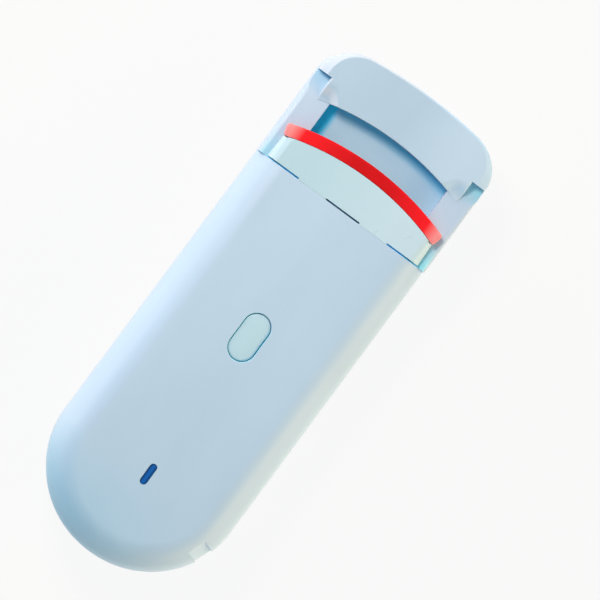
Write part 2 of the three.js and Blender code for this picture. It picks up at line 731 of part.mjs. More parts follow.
function powerButton() {
  const cap = pillow(buttonShape(0), 14, buttonTop, { across: 0.35, deep: 0.3 }, 8, 2);
  const flange = prism(buttonShape(0.9), 17.55, frontZ - wall - 0.1, 8);
  const nub = cylinder("z", 1, 0, buttonY, 17.2, 17.8, 16);
  return join(common(cap, box(-9, 9, -60, 60, 17.6, 30)), flange, nub);
}
addNode("power_button", powerButton(), mint);
addNode("switch_plunger", cylinder("z", 0.85, 0, buttonY, 16.05, 17.15, 16), nylon);
addNode(
  "tact_switch",
  cut(
    box(-2.25, 2.25, buttonY - 2.25, buttonY + 2.25, boardTop + 0.05, 16.7),
    cylinder("z", 0.95, 0, buttonY, 15.6, 18, 16),
  ),
  chipBlack,
);
addNode(
  "indicator_lens",
  join(
    prism(indicatorShape(0), 17.4, frontZ - 0.25, 8),
    prism(indicatorShape(0.8), 17.4, frontZ - wall - 0.05, 8),
  ),
  deepBlue,
);
addNode("indicator_led", box(-0.8, 0.8, indicatorY - 1.6, indicatorY + 1.6, boardTop + 0.05, 16.5), ceramic);

// ---------------------------------------------------------------- board, cell and leads

const board = { half: 10.2, y0: -46.6, y1: 2.4 };
addNode(
  "circuit_board",
  prism(roundedRectangle(-board.half, board.half, board.y0, board.y1, 2), boardZ, boardTop, 4),
  boardGreen,
);
addNode("controller_chip", box(-2.5, 2.5, -20, -15, boardTop + 0.05, 16.35), chipBlack);
addNode("charger_chip", box(-7.5, -3.5, -43, -39, boardTop + 0.05, 16.35), chipBlack);
addNode(
  "power_coil",
  prism(roundedRectangle(3.6, 8.4, -43.6, -38.8, 1), boardTop + 0.05, 17.6, 3),
  foamGrey,
);
addNode("battery_socket", box(-8.6, -3.2, -12.5, -8.9, boardTop + 0.05, 17.5), nylon);
addNode("heater_socket", box(3.2, 8.6, -12.5, -8.9, boardTop + 0.05, 17.5), nylon);

function usbPort() {
  const shellShape = (inset) =>
    roundedRectangle(
      -portHalf.x + inset,
      portHalf.x - inset,
      -portHalf.z + inset,
      portHalf.z - inset,
      1.55 - inset,
    );
  const [mouth, deep] = [tailY + 0.9, 7.3];
  const can = cut(
    standUp(prism(shellShape(0), 0, deep, 6), mouth + deep, portZ),
    standUp(prism(shellShape(0.3), 0.8, deep + 1, 6), mouth + deep, portZ),
  );
  return join(can, box(-3.35, 3.35, mouth + 1, mouth + deep - 0.5, portZ - 0.35, portZ + 0.35));
}
addNode("usb_port", usbPort(), steel);

addNode(
  "battery",
  pillow(roundedRectangle(-9.5, 9.5, -36.5, -5, 1.5), 8.3, 13, { across: 1, deep: 1.2 }, 4, 3),
  cellSilver,
);
addNode("battery_foam", box(-7, 7, -32, -9, 13.1, 14.2), foamGrey);

// A lead of round section through a list of points.
function leadAlong(points, radius, steps) {
  const path = new THREE.CatmullRomCurve3(points.map((p) => new THREE.Vector3(...p)));
  const section = new THREE.Shape().absarc(0, 0, radius, 0, 2 * Math.PI, false);
  return toSolid(
    new THREE.ExtrudeGeometry(section, { steps, extrudePath: path, curveSegments: 3 }),
  );
}

const leadRadius = 0.42;
const leadNames = ["red", "black"];
leadNames.forEach((name, i) => {
  const x = i ? -1.1 : 1.1;
  const heaterLead = [
    [2.2 * x, heaterMiddle - 4.2, 12.6],
    [2.2 * x, heaterMiddle - 5.6, 11.9],
    [1.6 * x, sillTopY - 2, 11],
    [1.5 * x, 22, 10.8],
    [1.5 * x, 14, 10.9],
    [1.3 * x, 6, 11.6],
    [1.3 * x, 3.6, 13.4],
    [1.3 * x, 3.5, 15.3],
    [1.3 * x + 1.2, 2, 16.2],
    [6.4 - i * 1.8, -3, 16.2],
    [6.4 - i * 1.8, -8.7, 16.4],
  ];
  addNode(`heater_lead_${name}`, leadAlong(heaterLead, leadRadius, 30), i ? leadBlack : leadRed);
  const batteryLead = [
    [-5 - i * 1.8, -4.8, 10.6],
    [-5 - i * 1.8, -2.4, 10.8],
    [-6 - i * 1.8, 2.6, 11.4],
    [-6 - i * 1.8, 4, 14.2],
    [-6 - i * 1.8, 2.4, 16.5],
    [-5 - i * 1.8, -3, 16.9],
    [-5 - i * 1.8, -8.7, 16.4],
  ];
  addNode(`battery_lead_${name}`, leadAlong(batteryLead, leadRadius, 24), i ? leadBlack : leadRed);
});

// ---------------------------------------------------------------- screws

// A pan head screw with a crosshead recess. Its head is at z, and it points along +Z or -Z.
function screw(x, y, z, long, up = 1, headRadius = 1.6, coreRadius = 0.62) {
  const head = 0.9;
  const profile = [
    [0, 0],
    [headRadius - 0.25, 0],
    [headRadius, 0.3],
    [headRadius, head],
    [coreRadius, head],
    [coreRadius, long - 0.5],
    [0, long],
  ].map(([r, h]) => new THREE.Vector2(r, h));
  const lathe = new THREE.LatheGeometry(profile, 14).rotateX(Math.PI / 2);
  const body = toSolid(lathe);
  const [slotLong, slotHalf, slotDeep] = [0.85, 0.22, 0.5];
  const recess = join(
    box(-slotLong, slotLong, -slotHalf, slotHalf, -1, slotDeep),
    box(-slotHalf, slotHalf, -slotLong, slotLong, -1, slotDeep),
  );
  const made = cut(body, recess);
  return (up > 0 ? made : made.rotate([180, 0, 0])).translate([x, y, z]);
}

for (const [side, sign] of sides) {
  casingScrews.forEach(([x, y], i) => {
    const where = i ? "lower" : "upper";
    const head = rearFaceZ(y) + 0.55;
    addNode(`casing_screw_${where}_${side}`, screw(sign * x, y, head, 15.6 - head), steel);
  });
  const [frameX, frameY] = frameScrewAt;
  addNode(`frame_screw_${side}`, screw(sign * frameX, frameY, rearFaceZ(frameY) + 0.05, 4.9), steel);
  const [headX, headY] = headScrewAt;
  addNode(`head_screw_${side}`, screw(sign * headX, headY, headRearZ + 0.05, 11.8), steel);
  addNode(`jaw_screw_${side}`, screw(sign * legMiddle, 11.5, 18.05, 4.8, -1, 1.35, 0.42), steel);
}

export default curler;
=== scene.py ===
# The looks of a heated eyelash curler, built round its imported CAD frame.
# Lengths inside the helpers are in millimetres and are turned into metres when a mesh is made.

import json
import math

import bmesh
import bpy
from mathutils import Matrix, Vector


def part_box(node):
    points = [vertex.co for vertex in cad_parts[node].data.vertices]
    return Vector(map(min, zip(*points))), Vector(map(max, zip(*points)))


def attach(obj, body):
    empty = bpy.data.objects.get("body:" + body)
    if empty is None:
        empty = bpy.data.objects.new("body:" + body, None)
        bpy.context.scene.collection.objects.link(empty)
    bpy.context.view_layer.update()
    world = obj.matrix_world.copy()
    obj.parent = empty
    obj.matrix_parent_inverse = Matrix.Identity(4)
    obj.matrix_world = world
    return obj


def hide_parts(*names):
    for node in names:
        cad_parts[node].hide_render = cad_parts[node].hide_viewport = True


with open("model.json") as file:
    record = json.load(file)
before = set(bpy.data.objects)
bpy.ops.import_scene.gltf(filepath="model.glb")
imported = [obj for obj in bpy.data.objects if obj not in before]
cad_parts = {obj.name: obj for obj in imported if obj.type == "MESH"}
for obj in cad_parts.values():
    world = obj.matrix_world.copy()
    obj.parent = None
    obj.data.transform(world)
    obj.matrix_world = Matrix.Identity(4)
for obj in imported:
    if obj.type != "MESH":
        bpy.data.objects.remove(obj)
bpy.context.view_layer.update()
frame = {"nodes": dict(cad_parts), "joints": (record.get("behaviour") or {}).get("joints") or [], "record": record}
nodes = frame["nodes"]


def span(node):
    low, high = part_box(node)
    return low * 1000, high * 1000


# ---- dimensions read from the frame

shell_low, shell_high = span("front_shell")
cap_low, cap_high = span("head_cap")
back_low, back_high = span("head_back_cover")
plate_low, plate_high = span("jaw_plate")
pad_low, pad_high = span("silicone_pad")
button_low, button_high = span("power_button")
lens_low, lens_high = span("indicator_lens")
grip_low, grip_high = span("lever_grip")
pin_low, pin_high = span("hinge_pin")
port_low, port_high = span("usb_port")
strap_low, strap_high = span("strap_bar")

HALF = shell_high.x
SEAM = shell_high.y
TAIL = shell_low.y
FRONT = shell_high.z
PARTING = span("rear_shell")[1].z
TOP = cap_high.y
CAP_FRONT = cap_high.z
GAP = 0.05
FRAME_FRONT = cap_low.z - GAP
JAW_BACK = pad_low.z - GAP
FRAME_BACK = back_high.z + GAP
SHELL_BACK = shell_low.z
TAIL_RISE = 18.2
TAIL_CENTRE = TAIL + TAIL_RISE
WALL = 1.6

PIVOT_Y = (pin_low.y + pin_high.y) / 2
PIVOT_Z = (pin_low.z + pin_high.z) / 2
press = next(j for j in frame["joints"] if j["name"] == "lever_press")
SLOPE = math.radians(press["range_deg"][1])

CLAMP_RADIUS = 56.0
CAP_EDGE = SEAM + 16.3
PAD_TOP = pad_high.y
PAD_HEIGHT = 2.5
JAW_TOP = PAD_TOP - PAD_HEIGHT
JAW_RADIUS = CLAMP_RADIUS - PAD_HEIGHT
WINDOW = 13.45
TONGUE = 16.1
NOTCH = SEAM + 18.7
SILL = SEAM + 5.2
SILL_FRONT = 15.3
HEATER_SEAT = 14.4
LEG_INNER, LEG_OUTER, LEG_BACK, LEG_FRONT = 3.8, 10.05, 15.6, 18.2
ROD_X, ROD_Z, ROD_HOLE = 12.0, 13.7, 0.83
CASING_SCREWS = [(14.2, 1.5), (12.6, -33)]
FRAME_SCREW = (14.2, 22.4)
HEAD_SCREW = (11, 48.2)
PILOT, CLEARANCE, SCREW_SEAT = 0.7, 0.95, 1.8
BUTTON_Y = (button_low.y + button_high.y) / 2
LENS_Y = (lens_low.y + lens_high.y) / 2
PORT_Z = (port_low.z + port_high.z) / 2
BUTTON_HALF, BUTTON_LONG = 2.62, 9.7
LENS_HALF, LENS_LONG = 0.67, 4.3
BUTTON_FIT, LENS_FIT = 0.07, 0.06


# ---- outlines: lists of (x, y), anticlockwise


def arc_drop(radius, x):
    return radius - math.sqrt(radius * radius - x * x)


def quarter_turn(steps):
    return [math.pi / 2 * k / steps for k in range(steps + 1)]


def arc_points(radius, top, start, end, steps=32):
    """Points on an arc whose highest point is (0, top), from x = start to x = end."""
    a, b = math.asin(start / radius), math.asin(end / radius)
    turns = [a + (b - a) * k / steps for k in range(steps + 1)]
    return [(radius * math.sin(t), top - radius + radius * math.cos(t)) for t in turns]


def rounded(points, steps):
    """A polygon whose corners given as (x, y, radius) are rounded."""
    out = []
    count = len(points)
    for i, point in enumerate(points):
        radius = point[2] if len(point) > 2 else 0
        here = Vector(point[:2])
        if radius <= 0:
            out.append((here.x, here.y))
            continue
        before = (Vector(points[i - 1][:2]) - here).normalized()
        after = (Vector(points[(i + 1) % count][:2]) - here).normalized()
        half = before.angle(after) / 2
        reach = radius / math.tan(half)
        centre = here + (before + after).normalized() * (radius / math.sin(half))
        first = here + before * reach - centre
        last = here + after * reach - centre
        start = math.atan2(first.y, first.x)
        turn = math.atan2(last.y, last.x) - start
        turn = (turn + math.pi) % (2 * math.pi) - math.pi
        for k in range(steps + 1):
            angle = start + turn * k / steps
            out.append((centre.x + radius * math.cos(angle), centre.y + radius * math.sin(angle)))
    return out


def rectangle(x0, x1, y0, y1, radius=0.0, steps=8):
    corners = [(x1, y1), (x0, y1), (x0, y0), (x1, y0)]
    return rounded([(x, y, radius) for x, y in corners], steps)


def stadium(half, y0, y1):
    steps = 20
    upper = [math.pi * k / steps for k in range(steps + 1)]
    points = [(half * math.cos(t), y1 - half + half * math.sin(t)) for t in upper]
    return points + [(-x, y0 + y1 - y) for x, y in points]


def offset(points, distance):
    """The outline moved inwards by a small distance (outwards if it is negative)."""
    out = []
    count = len(points)
    for i, (x, y) in enumerate(points):
        ax, ay = points[i - 1]
        bx, by = points[(i + 1) % count]
        one = Vector((x - ax, y - ay)).normalized()
        two = Vector((bx - x, by - y)).normalized()
        normal = Vector((-one.y - two.y, one.x + two.x))
        share = max(normal.length / 2, 0.5)
        if normal.length > 1e-9:
            normal.normalize()
        out.append((x + normal.x * distance / share, y + normal.y * distance / share))
    return out


def casing_outline(inset, end):
    """The casing's outline: straight sides, and half an ellipse round the tail."""
    across, rise = HALF - inset, TAIL_RISE - inset
    rows = [end + (TAIL_CENTRE - end) * k / 24 for k in range(25)]
    left = [(-across, y) for y in rows]
    turns = [math.pi + math.pi * k / 72 for k in range(1, 72)]
    tail = [(across * math.cos(t), TAIL_CENTRE + rise * math.sin(t)) for t in turns]
    right = [(across, y) for y in reversed(rows[1:])]
    return [(across, end)] + left + tail + right


def bezier(p0, p1, p2, p3):
    steps = 14
    out = []
    for k in range(steps + 1):
        t = k / steps
        a, b, c, d = (1 - t) ** 3, 3 * t * (1 - t) ** 2, 3 * t * t * (1 - t), t**3
        out.append(tuple(a * w + b * x + c * y + d * z for w, x, y, z in zip(p0, p1, p2, p3)))
    return out


def head_top(inset):
    """The rounded shoulders and the crowned top of the head, from its right side to its left."""
    side, top = HALF - inset, TOP - inset
    radius, half = 95.0, 12.5
    drop = arc_drop(radius, half)
    shoulder = half + 4.2 - inset / 2
    curve = bezier((side, top - 7.8), (side, top - 4.7), (shoulder, top - 1.75), (half, top - drop))
    crown = arc_points(radius, top, half, -half, 24)
    return curve[:-1] + crown + [(-x, y) for x, y in reversed(curve[:-1])]


def head_outline(inset, start):
    return [(HALF - inset, start)] + head_top(inset) + [(-HALF + inset, start)]


# ---- meshes


def added(name, data):
    thing = bpy.data.objects.new(name, data)
    bpy.context.scene.collection.objects.link(thing)
    return thing


def made(name, vertices, faces, place):
    mesh = bpy.data.meshes.new(name)
    placed = [Vector(v) for v in vertices]
    if place is not None:
        placed = [place @ v for v in placed]
    mesh.from_pydata([v * 0.001 for v in placed], [], faces)
    return tidy(added(name, mesh))


def tidy(piece):
    """Merges what lies on itself, and turns every face outwards."""
    work = bmesh.new()
    work.from_mesh(piece.data)
    bmesh.ops.remove_doubles(work, verts=work.verts, dist=2e-7)
    bmesh.ops.dissolve_degenerate(work, edges=work.edges, dist=1e-7)
    bmesh.ops.recalc_face_normals(work, faces=work.faces)
    work.to_mesh(piece.data)
    work.free()
    return piece


def loft(name, rings, place=None, ladder=False):
    """A closed solid through rings of equally many points. A ladder cap joins left to right in steps."""
    count = len(rings[0])
    vertices = [p for ring in rings for p in ring]
    faces = []
    for k in range(len(rings) - 1):
        low, high = k * count, (k + 1) * count
        for i in range(count):
            j = (i + 1) % count
            faces.append((low + i, low + j, high + j, high + i))
    last = (len(rings) - 1) * count
    if ladder:
        for base, flip in ((0, True), (last, False)):
            a, b = 0, 1
            while (a - 1) % count > b + 1:
                c, d = (a - 1) % count, b + 1
                quad = (base + a, base + b, base + d, base + c)
                faces.append(quad[::-1] if flip else quad)
                a, b = c, d
            rest = list(range(b, (a if a else count) + 1))
            end = tuple(base + i for i in rest)
            faces.append(end[::-1] if flip else end)
    else:
        faces.append(tuple(range(count))[::-1])
        faces.append(tuple(range(last, last + count)))
    return made(name, vertices, faces, place)


def rim_profile(z0, z1, bottom, top, steps):
    """(inset, z) up the side of a slab whose two rims are rounded."""
    turns = quarter_turn(steps)
    low = [(bottom * (1 - math.sin(t)), z0 + bottom * (1 - math.cos(t))) for t in turns]
    high = [(top * (1 - math.cos(t)), z1 - top * (1 - math.sin(t))) for t in turns]
    return (low if bottom > 0 else low[:1]) + (high if top > 0 else high[:1])


def levels(outline, steps):
    """Rings for a loft: at each (size, height) the outline, which is a function of the size."""
    return [[(x, y, z) for x, y in outline(size)] for size, z in steps]


def slab(name, outline, z0, z1, bottom, top, steps, limit=None, place=None):
    """An outline made thick. limit(z) holds x within bounds, which slopes or rounds the two sides."""
    heights = rim_profile(z0, z1, bottom, top, steps)
    if limit is not None:
        extra = [z0 + (z1 - z0) * math.sin(t) for t in quarter_turn(20)[1:-1]]
        heights += [(0.0, z) for z in extra if z0 + bottom < z < z1 - top - 0.01]
        heights.sort(key=lambda item: item[1])
    rings = []
    for inset, z in heights:
        ring = offset(outline, inset) if inset else outline
        if limit is not None:
            most = limit(z) - inset
            ring = [(max(-most, min(most, x)), y) for x, y in ring]
        rings.append([(x, y, z) for x, y in ring])
    return loft(name, rings, place)


def dome(name, outline, z0, z1, at_side, at_end):
    """A slab rounded more along its sides (normals along X) than round its ends (normals along Y)."""
    inner = offset(outline, 1.0)
    rings = []
    for t in quarter_turn(16):
        z = z0 + (z1 - z0) * math.sin(t)
        ring = []
        for (x, y), (a, b) in zip(outline, inner):
            share = min(1.0, (x - a) ** 2)
            slant = slanted((z - z0) / (z1 - z0), at_side)
            inset = share * slant + (1 - share) * quarter(z, z1 - at_end, z1, at_end)
            ring.append((x + (a - x) * inset, y + (b - y) * inset, z))
        rings.append(ring)
    return loft(name, rings)


def slanted(height, across):
    """How far in an edge has come that is round below and slants flat above."""
    turn, inward = 0.5, 0.26
    if height > turn:
        return across * (inward + (1 - inward) * (height - turn) / (1 - turn))
    t = 0.9 * height / turn
    return across * inward * (1 - math.sqrt(1 - t * t)) / (1 - math.sqrt(1 - 0.81))


def quarter(z, start, end, across, full=0.94):
    """How far in a rounded edge has come at the height z. It stops short of level, at a soft crease."""
    t = full * max(0.0, min(1.0, (z - start) / (end - start)))
    return across * (1 - math.sqrt(1 - t * t)) / (1 - math.sqrt(1 - full * full))


def opening_tool(outline, z0, surface, flare, place=None):
    """A cutter whose mouth widens at the surface, which leaves the cut with a rounded edge."""
    rings = [[(x, y, z0) for x, y in outline]]
    for t in quarter_turn(4):
        ring = offset(outline, -flare * (1 - math.cos(t)))
        rings.append([(x, y, surface - flare * (1 - math.sin(t))) for x, y in ring])
    wide = offset(outline, -flare)
    rings.append([(x, y, surface + 0.02) for x, y in wide])
    rings.append([(x, y, surface + 6) for x, y in wide])
    return loft("tool", rings, place)


def straight(outline, z0, z1, place=None):
    return loft("tool", [[(x, y, z) for x, y in outline] for z in (z0, z1)], place)


def block(x0, x1, y0, y1, z0, z1, place=None):
    return straight([(x1, y1), (x0, y1), (x0, y0), (x1, y0)], z0, z1, place)


def block_pair(inner, outer, *rest, place=None):
    return [block(inner, outer, *rest, place=place), block(-outer, -inner, *rest, place=place)]


AXES = {
    "x": Matrix(((0, 0, 1), (1, 0, 0), (0, 1, 0))).to_4x4(),
    "y": Matrix(((0, 1, 0), (0, 0, 1), (1, 0, 0))).to_4x4(),
    "z": Matrix.Identity(4),
}
FLIPPED = Matrix.Diagonal((1, 1, -1, 1))


def turned(name, axis, a, b, profile, sides=48):
    """A turned solid. profile is a list of (radius, height) along the axis, off the axis itself."""
    circle = [2 * math.pi * k / sides for k in range(sides)]
    rings = []
    for radius, height in profile:
        rings.append([(radius * math.cos(t), radius * math.sin(t), height) for t in circle])
    shift = {"x": Vector((0, a, b)), "y": Vector((a, 0, b)), "z": Vector((a, b, 0))}[axis]
    return loft(name, rings, Matrix.Translation(shift) @ AXES[axis])


def rod(axis, radius, a, b, low, high):
    return turned("tool", axis, a, b, [(radius, low), (radius, high)])


def rod_pair(axis, radius, x, *rest):
    return [rod(axis, radius, x, *rest), rod(axis, radius, -x, *rest)]


def screw_rods(radius, at, low, high):
    """Rods for the posts or holes of a screw on the right and its twin on the left."""
    return rod_pair("z", radius, *at, low, high)


def apply_all(piece):
    graph = bpy.context.evaluated_depsgraph_get()
    mesh = bpy.data.meshes.new_from_object(piece.evaluated_get(graph))
    piece.modifiers.clear()
    piece.data = mesh
    mesh.name = piece.name


def combine(piece, tools, operation):
    for tool in tools:
        step = piece.modifiers.new("step", "BOOLEAN")
        step.operation = operation
        step.solver = "EXACT"
        step.object = tool
    apply_all(piece)
    for tool in tools:
        mesh = tool.data
        bpy.data.objects.remove(tool)
        bpy.data.meshes.remove(mesh)
    return tidy(piece)


def together(name, pieces):
    """Separate closed pieces gathered in one mesh."""
    mesh = bpy.data.meshes.new(name)
    work = bmesh.new()
    for piece in pieces:
        work.from_mesh(piece.data)
        bpy.data.objects.remove(piece)
    work.to_mesh(mesh)
    work.free()
    return added(name, mesh)


def cut(piece, *tools):
    return combine(piece, tools, "DIFFERENCE")


def join(piece, *tools):
    return combine(piece, tools, "UNION")


def common(piece, *tools):
    return combine(piece, tools, "INTERSECT")


def bevel_where(piece, test, width, segments=3):
    """Rounds the sharp edges whose middle, in millimetres, passes the test."""
    work = bmesh.new()
    work.from_mesh(piece.data)
    chosen = []
    for edge in work.edges:
        sharp = len(edge.link_faces) == 2 and edge.calc_face_angle(0) >= math.radians(40)
        if sharp and test((edge.verts[0].co + edge.verts[1].co) * 500):
            chosen.append(edge)
    bmesh.ops.bevel(
        work,
        geom=chosen,
        offset=width * 0.001,
        offset_type="OFFSET",
        segments=segments,
        profile=0.5,
        affect="EDGES",
        clamp_overlap=True,
    )
    work.to_mesh(piece.data)
    work.free()
    return tidy(piece)


def finish_piece(piece, body, material, slot, *replaced, angle=33):
    piece.data.materials.clear()
    piece.data.materials.append(material)
    piece.data.shade_smooth()
    piece.data.set_sharp_from_angle(angle=math.radians(angle))
    weights = piece.modifiers.new("normals", "WEIGHTED_NORMAL")
    weights.keep_sharp = True
    weights.weight = 60
    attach(piece, body)
    if replaced:
        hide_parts(*replaced)
    return piece


# ---- materials


class Nodes:
    """A short way to write the nodes of the world or, given a name, of a new or known material."""

    def __init__(self, name=None):
        if name is None:
            owner, place = bpy.context.scene.world, "Generated"
        else:
            owner, place = bpy.data.materials.get(name) or bpy.data.materials.new(name), "Object"
        owner.use_nodes = True
        self.material = owner
        self.tree = owner.node_tree
        self.shader = self.tree.nodes.get("Principled BSDF")
        self.place = self.output("ShaderNodeTexCoord", place)

    def output(self, kind, name):
        return self.tree.nodes.new(kind).outputs[name]

    def split(self, vector, name):
        return self.add("ShaderNodeSeparateXYZ", Vector=vector).outputs[name]

    def axis(self, name):
        return self.split(self.place, name)

    def facing(self, name):
        return self.split(self.output("ShaderNodeTexCoord", "Normal"), name)

    def colour(self):
        """The colour that the material has so far."""
        return self.shader.inputs["Base Color"].links[0].from_socket

    def add(self, kind, **inputs):
        node = self.tree.nodes.new(kind)
        for key, value in inputs.items():
            self.feed(node, key.replace("_", " "), value)
        return node

    def feed(self, node, key, value):
        if isinstance(value, bpy.types.NodeSocket):
            self.tree.links.new(value, node.inputs[key])
        else:
            node.inputs[key].default_value = value

    def noise(self, scale, detail=3.0, roughness=0.5, vector=None):
        place = vector or self.place
        grain = {"Scale": scale, "Detail": detail, "Roughness": roughness}
        return self.add("ShaderNodeTexNoise", Vector=place, **grain).outputs["Fac"]

    def cells(self, **inputs):
        """The distance from the middle of each of many small cells."""
        return self.add("ShaderNodeTexVoronoi", Vector=self.place, **inputs).outputs["Distance"]

    def ramp(self, value, low, high, to_low=0.0, to_high=1.0, course="LINEAR"):
        limits = {"From_Min": low, "From_Max": high, "To_Min": to_low, "To_Max": to_high}
        node = self.add("ShaderNodeMapRange", Value=value, **limits)
        node.interpolation_type = course
        return node.outputs["Result"]

    def along(self, axis, start, end, to_start=0.0, to_end=1.0):
        """What changes between two places on an axis, in millimetres."""
        return self.ramp(self.axis(axis), start * 0.001, end * 0.001, to_start, to_end)

    def aside(self, start, end, to_start=0.0, to_end=1.0):
        """What changes between two distances from the middle, in millimetres."""
        away = self.math("ABSOLUTE", self.axis("X"))
        return self.ramp(away, start * 0.001, end * 0.001, to_start, to_end)

    def spread(self, noise, low=0.0, high=1.0):
        """Stretches the middle of a noise over a range."""
        return self.ramp(noise, 0.3, 0.7, low, high)

    def mix(self, factor, one, two, mode="MIX"):
        node = self.tree.nodes.new("ShaderNodeMix")
        node.data_type = "RGBA"
        node.blend_type = mode
        self.feed(node, 0, factor)
        self.feed(node, 6, one)
        self.feed(node, 7, two)
        return node.outputs[2]

    def math(self, operation, one, two=0.0):
        node = self.tree.nodes.new("ShaderNodeMath")
        node.operation = operation
        self.feed(node, 0, one)
        self.feed(node, 1, two)
        return node.outputs[0]

    def product(self, first, *rest):
        for factor in rest:
            first = self.math("MULTIPLY", first, factor)
        return first

    def bump(self, height, distance, strength, normal=None):
        node = self.add("ShaderNodeBump", Strength=strength, Distance=distance, Height=height)
        if normal is not None:
            self.tree.links.new(normal, node.inputs["Normal"])
        return node.outputs["Normal"]

    def stretched(self, x, y, z):
        node = self.add("ShaderNodeMapping", Scale=(x, y, z), Vector=self.place)
        return node.outputs["Vector"]

    def set(self, **values):
        for key, value in values.items():
            self.feed(self.shader, key.replace("_", " "), value)
        return self.material


def rgb(red, green, blue):
    """A colour given in 0 to 255 as it shows on a screen, in the linear values that a shader takes."""

    def linear(value):
        value /= 255
        return value / 12.92 if value <= 0.04045 else ((value + 0.055) / 1.055) ** 2.4

    return (linear(red), linear(green), linear(blue), 1.0)


def moulded(name, colour, roughness, grain, coat=0.0, spread=0.035, ripple=0.25):
    """Injection-moulded plastic: a fine even grain, faint flow marks and a slightly uneven gloss."""
    n = Nodes(name)
    flow = n.noise(55.0, 4.0, 0.55, n.stretched(1.0, 0.35, 1.0))
    speck = n.noise(2600.0, 2.0)
    light = tuple(min(1.0, c * (1 + spread)) for c in colour[:3]) + (1.0,)
    deep = tuple(c * (1 - spread) for c in colour[:3]) + (1.0,)
    base = n.mix(n.spread(flow), deep, light)
    base = n.mix(n.ramp(speck, 0.35, 0.65, 0.0, 0.08), base, light)
    gloss = n.spread(n.noise(130.0, 5.0, 0.6), roughness - 0.04, roughness + 0.05)
    fine = n.bump(n.noise(5200.0, 2.0, 0.5), 0.000012, grain)
    wave = n.bump(n.noise(90.0, 2.0, 0.4), 0.00004, ripple, fine)
    values = {"Base_Color": base, "Roughness": gloss, "Normal": wave}
    if coat:
        values.update({"Coat_Weight": coat, "Coat_Roughness": 0.12})
    return n.set(**values)


def painted_gap_glow_and_shade(material):
    """Adds a painted blue glow in the narrow gap round the head's root, where there is only shade.

    It paints a teal shade on the arms' feet and a painted shadow on the floors of the notches, where they face
    forwards.
    """
    n = Nodes(material.name)
    # painted glow: the gap's faces emit blue in place of light in the shaded gap
    gap = n.along("Y", SEAM + 0.15, SEAM + 0.1)
    painted_glow = n.product(n.aside(4.0, 10.5, 0.1, 1.0), n.aside(17.1, 17.4, 1.0, 0.2))
    n.set(Emission_Color=rgb(0, 150, 200), Emission_Strength=n.product(gap, painted_glow))
    forwards = n.product(n.ramp(n.facing("Z"), 0.6, 0.9), n.along("Z", 15.0, 16.0))
    right = n.along("X", -1.0, 1.0)
    # painted shade: the arms' feet beside the jaw take the teal of the jaw's shadow, the right foot most
    painted_foot_shade = n.product(n.along("Y", SEAM + 6, SEAM + 0.5, 0.0, 0.6), n.ramp(right, 0.0, 1.0, 1.0, 1.6))
    painted_shade_teal = n.mix(right, rgb(146, 218, 232), rgb(152, 235, 253))
    colour = n.mix(n.product(painted_foot_shade, forwards), n.colour(), painted_shade_teal)
    # painted shadow: the notch floors below the cap's ledge are darkened to teal, the right notch most
    floor = n.product(
        n.along("Z", FRAME_FRONT - 0.02, FRAME_FRONT - 1.2, 0.0, 0.9),
        n.along("Y", NOTCH - 5, NOTCH - 4),
        n.ramp(right, 0.0, 1.0, 0.5, 1.0),
        forwards,
    )
    return n.set(Base_Color=n.mix(floor, colour, rgb(140, 212, 234)))


def casing_painted_shade(material):
    """Paints shade on the casing: a deeper blue on the narrow rims round the button and the lens, and a darker
    blue over its tail.
    """
    n = Nodes(material.name)
    # painted shade in the narrow rims of the button's and the lens's openings
    painted_rim_shade = n.product(
        n.along("Z", FRONT - 0.01, FRONT - 0.06),
        n.aside(3.2, 3.4, 1.0, 0.0),
        n.along("Z", 18.3, 18.5),
        n.along("Y", 3.0, 4.0, 1.0, 0.0),
        n.along("Y", -39.0, -38.0),
    )
    colour = n.mix(painted_rim_shade, n.colour(), rgb(110, 200, 224))
    # painted shade on the tail: on faces turned towards it, and over its left part
    end = n.product(n.ramp(n.facing("Y"), -0.1, -0.5, 0.0, 0.9), n.ramp(n.facing("X"), 0.3, -0.3))
    face = n.product(n.along("Y", -34.0, -50.0, 0.0, 0.7), n.along("X", 12.0, -4.0))
    tail = n.math("MAXIMUM", end, face)
    return n.set(Base_Color=n.mix(tail, colour, rgb(160, 203, 224)))


def painted_side_light(material, start, end, left, right, on_face=1.0, on_rim=0.0):
    """Paints light and shade by side: multiplies a material's colour by one set of factors on its left and by
    another on its right.
    """
    n = Nodes(material.name)
    factors = n.mix(n.along("X", start, end), (*left, 1), (*right, 1))
    where = n.ramp(n.facing("Z"), 0.9, 0.98, on_rim, on_face)
    return n.set(Base_Color=n.mix(where, n.colour(), factors, "MULTIPLY"))


def silicone():
    """Soft red silicone, deep in the middle of the pad and paler towards its thin ends."""
    n = Nodes("red_silicone")
    red = n.mix(n.spread(n.noise(300.0, 3.0)), rgb(195, 0, 6), rgb(205, 2, 12))
    red = n.mix(n.aside(4.0, 14.0), red, rgb(240, 20, 30))
    base = n.mix(n.aside(14.0, 16.6), red, rgb(240, 146, 146))
    gloss = n.spread(n.noise(900.0, 3.0), 0.5, 0.62)
    fine = n.bump(n.noise(3800.0, 2.0), 0.00002, 0.5)
    return n.set(
        Base_Color=base,
        Roughness=gloss,
        Normal=fine,
        Specular_IOR_Level=0.18,
        Subsurface_Weight=0.1,
        Subsurface_Scale=0.0015,
    )


def metal(name, colour, roughness, stretch=(1.0, 1.0, 1.0), scale=900.0):
    n = Nodes(name)
    lines = n.noise(scale, 4.0, 0.6, n.stretched(*stretch))
    tint = tuple(c * 0.86 for c in colour[:3]) + (1.0,)
    base = n.mix(n.spread(lines), tint, colour)
    gloss = n.spread(lines, roughness - 0.06, roughness + 0.1)
    fine = n.bump(lines, 0.000006, 0.5)
    return n.set(Base_Color=base, Roughness=gloss, Metallic=1.0, Normal=fine)


